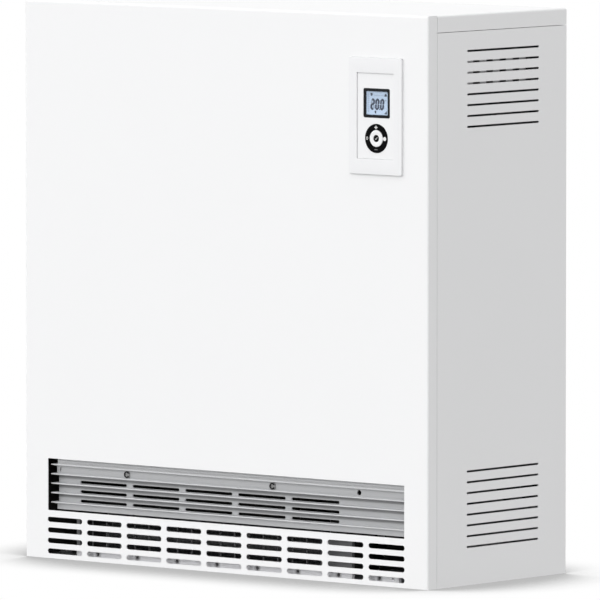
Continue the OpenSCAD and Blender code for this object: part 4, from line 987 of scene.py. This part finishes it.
class HEATER_OT_rear_plugs(bpy.types.Operator):
    """Build the plugs of the wall-screw holes and the rubber webs of the cable ways"""

    bl_idname = "heater.rear_plugs"
    bl_label = "Rear Plugs"

    def execute(self, context):
        sheet = box_mm("rear_panel")[1][1]
        plug = [(0.1, sheet - 3.2), (3.0, sheet - 3.2), (4.3, sheet - 1.6), (4.3, sheet + 0.05),
                (6.0, sheet + 0.05), (6.0, sheet + 0.4), (5.2, sheet + 0.9), (0.1, sheet + 1.1)]
        plugs = Surface()
        for x in (-200.0, 200.0):
            for z in (140.0, 520.0):
                plugs.add(turned(plug, (x, 0, z), 32))
        plugs.piece("wall_hole_plugs", "casing", "black_plastic", "foot_plastic")
        lo, hi = box_mm("cable_grommets")
        reach = (hi[2] - lo[2]) / 2
        web = [(0.1, lo[1] + 0.6), (1.2, lo[1] + 0.6), (1.6, lo[1] + 1.1), (6.0, lo[1] + 1.1),
               (6.0, lo[1] + 1.9), (0.1, lo[1] + 1.9)]
        webs = Surface()
        for x in (lo[0] + reach, hi[0] - reach):
            webs.add(turned(web, (x, 0, (lo[2] + hi[2]) / 2), 32))
        webs.piece("cable_way_webs", "casing", "rubber", grommet_rubber)
        return {"FINISHED"}


class HEATER_OT_lint_gauze(bpy.types.Operator):
    """Weave the lint filter's gauze"""

    bl_idname = "heater.lint_gauze"
    bl_label = "Lint Gauze"

    def execute(self, context):
        pitch = settings()[1].gauze_pitch / MM
        lo, hi = box_mm("lint_filter_mesh")
        thread, swing = 0.16, 0.18
        xs, zs = (lo[axis] + pitch * (np.arange(int((hi[axis] - lo[axis]) / pitch)) + 0.5)
                  for axis in (0, 2))
        round_ = np.linspace(0, 2 * math.pi, 4, endpoint=False) + math.pi / 4
        aside, out = thread * np.cos(round_), thread * np.sin(round_)

        def threads(places, crossed, axis, first):
            """Threads along an axis, each swinging to the other side of each one it crosses.

            The swing is a cosine whose half wave is the pitch, and its sign changes from a
            thread to its neighbour.
            """
            along = np.arange(2 * len(crossed) - 1) * pitch / 2
            wave = np.cos(math.pi * along / pitch)
            side = first * (-1.0) ** np.arange(len(places))
            grid = np.zeros((len(places), len(along), 4, 3))
            grid[..., axis] = (crossed[0] + along)[None, :, None]
            grid[..., 1] = ((lo[1] + hi[1]) / 2
                            + swing * side[:, None, None] * wave[None, :, None] + out)
            grid[..., 2 - axis] = places[:, None, None] + aside
            return grid

        surface = Surface().add(threads(zs, xs, 0, 1.0)).add(threads(xs, zs, 2, -1.0))
        made = surface.piece("lint_gauze", "casing", "filter_gauze", "gauze_thread")
        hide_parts("lint_filter_mesh")
        return {"FINISHED"}


def seen_white(tree, unseen, white):
    """Mix of two shaders: camera, glossy and transmission rays meet the white one."""
    rays = add_node(tree, "ShaderNodeLightPath").outputs
    share = rays["Is Camera Ray"]
    for kind in ("Is Glossy Ray", "Is Transmission Ray"):
        share = add_node(tree, "ShaderNodeMath", {0: share, 1: rays[kind]},
                         operation="MAXIMUM").outputs[0]
    return add_node(tree, "ShaderNodeMixShader", {
        0: share, 1: unseen.outputs[0], 2: white.outputs[0]}).outputs[0]


# The light comes from above in front of the heater, a little from its left.
KEY_FROM = np.array([-0.126, -0.958, 0.259])
KEY_POWER = 4.0
# The key light adds to what the floor throws back.
FLOOR_GAIN = 1.12
FLOOR_REACH = 30.0
# Open shares of the sky between which the floor's shade fades out, and the shade's strength.
SHADE_OPEN, SHADE_DEPTH = (0.57, 0.89), 0.5
# The photograph's camera, found by fitting the casing's corners: place in metres, and angles in
# degrees down and round.
CAMERA_PLACE, CAMERA_DOWN, CAMERA_ROUND = (8.2095, -9.7984, 1.291), 4.40, 39.92


class HEATER_OT_stage(bpy.types.Operator):
    """Set up the floor, the light from all round and the camera"""

    bl_idname = "heater.stage"
    bl_label = "Stage"

    def execute(self, context):
        stage = settings()[2]
        self.floor(context, stage)
        self.light(context, stage)
        self.camera(context, stage)
        context.scene.view_settings.view_transform = "Standard"
        return {"FINISHED"}

    def floor(self, context, stage):
        """A wide plain floor that shows white, shaded near the casing by the sky that it hides.

        Every ray but the camera's, glossy and transmission ones meets an even glow as strong as
        the light that a floor of this grey throws back.
        """
        mesh = bpy.data.meshes.new("floor")
        mesh.from_pydata([(x * FLOOR_REACH, y * FLOOR_REACH, 0)
                          for x, y in ((-1, -1), (1, -1), (1, 1), (-1, 1))], [], [(0, 1, 2, 3)])
        made = bpy.data.objects.new("floor", mesh)
        context.scene.collection.objects.link(made)
        material = bpy.data.materials.new("floor_white")
        tree = empty_tree(material)
        sky = add_node(tree, "ShaderNodeAmbientOcclusion", {"Distance": stage.contact}, samples=16)
        shade = add_node(tree, "ShaderNodeMapRange", {
            "Value": sky.outputs["AO"], "From Min": SHADE_OPEN[0], "From Max": SHADE_OPEN[1],
            "To Min": SHADE_DEPTH}, interpolation_type="SMOOTHSTEP")
        white = add_node(tree, "ShaderNodeEmission", {"Strength": shade.outputs[0]})
        glow = add_node(tree, "ShaderNodeEmission", {"Strength": stage.floor_grey * FLOOR_GAIN})
        add_node(tree, "ShaderNodeOutputMaterial", {0: seen_white(tree, glow, white)})
        mesh.materials.append(material)

    def light(self, context, stage):
        """World light: even from all round, and stronger the nearer to the key direction.

        The strength is the ambient one plus the key one times the fourth power of the cosine of
        the angle to the key direction, where that is positive.
        """
        world = bpy.data.worlds.new("soft_studio")
        context.scene.world = world
        tree = empty_tree(world)
        sight = add_node(tree, "ShaderNodeTexCoord").outputs["Generated"]
        toward = add_node(tree, "ShaderNodeVectorMath", {
            0: sight, 1: tuple(KEY_FROM / np.linalg.norm(KEY_FROM))}, operation="DOT_PRODUCT")
        strength = toward.outputs["Value"]
        for operation, *values in (("MAXIMUM", 0.0), ("POWER", KEY_POWER),
                                   ("MULTIPLY_ADD", stage.key, stage.ambient)):
            strength = add_node(tree, "ShaderNodeMath", dict(enumerate([strength, *values])),
                                operation=operation).outputs[0]
        lamp = add_node(tree, "ShaderNodeBackground", {
            "Color": (1, 1, 1, 1), "Strength": strength})
        white = add_node(tree, "ShaderNodeBackground", {"Color": (1, 1, 1, 1)})
        add_node(tree, "ShaderNodeOutputWorld", {0: seen_white(tree, lamp, white)})

    def camera(self, context, stage):
        """Camera of the photograph."""
        data = bpy.data.cameras.new("camera")
        data.sensor_width = 36.0
        data.lens = stage.lens
        data.clip_end = 100.0
        made = bpy.data.objects.new("camera", data)
        made.location = CAMERA_PLACE
        made.rotation_euler = (math.radians(90 - CAMERA_DOWN), 0, math.radians(CAMERA_ROUND))
        context.scene.collection.objects.link(made)
        context.scene.camera = made


OPERATORS = (HEATER_OT_node_finishes, HEATER_OT_bezel, HEATER_OT_display_frame,
             HEATER_OT_display_segments, HEATER_OT_ring_keys, HEATER_OT_centre_key,
             HEATER_OT_snap_rings, HEATER_OT_brow_end, HEATER_OT_rear_plugs, HEATER_OT_lint_gauze,
             HEATER_OT_stage)


class HEATER_PT_sidebar(bpy.types.Panel):
    """Lists the heater's pieces and settings in the sidebar"""

    bl_idname = "HEATER_PT_sidebar"
    bl_label = "Storage Heater"
    bl_space_type = "VIEW_3D"
    bl_region_type = "UI"
    bl_category = "Heater"

    def draw(self, context):
        for group in settings():
            column = self.layout.column(align=True)
            for key in group.__annotations__:
                column.prop(group, key)
        column = self.layout.column(align=True)
        for operator in OPERATORS:
            column.operator(operator.bl_idname)


CLASSES = (HeaterFinishSettings, HeaterControlSettings, HeaterStageSettings, *OPERATORS,
           HEATER_PT_sidebar)


def register():
    """Registers the classes and hangs the settings on the scene."""
    for made in CLASSES:
        bpy.utils.register_class(made)
    bpy.types.Scene.heater_finish = bpy.props.PointerProperty(type=HeaterFinishSettings)
    bpy.types.Scene.heater_controls = bpy.props.PointerProperty(type=HeaterControlSettings)
    bpy.types.Scene.heater_stage = bpy.props.PointerProperty(type=HeaterStageSettings)


def unregister():
    """Takes the settings off the scene and the classes out of Blender."""
    del bpy.types.Scene.heater_stage
    del bpy.types.Scene.heater_controls
    del bpy.types.Scene.heater_finish
    for made in reversed(CLASSES):
        bpy.utils.unregister_class(made)


def main():
    register()
    for operator in OPERATORS:
        group, name = operator.bl_idname.split(".")
        getattr(getattr(bpy.ops, group), name)()


if __name__ == "__main__":
    main()
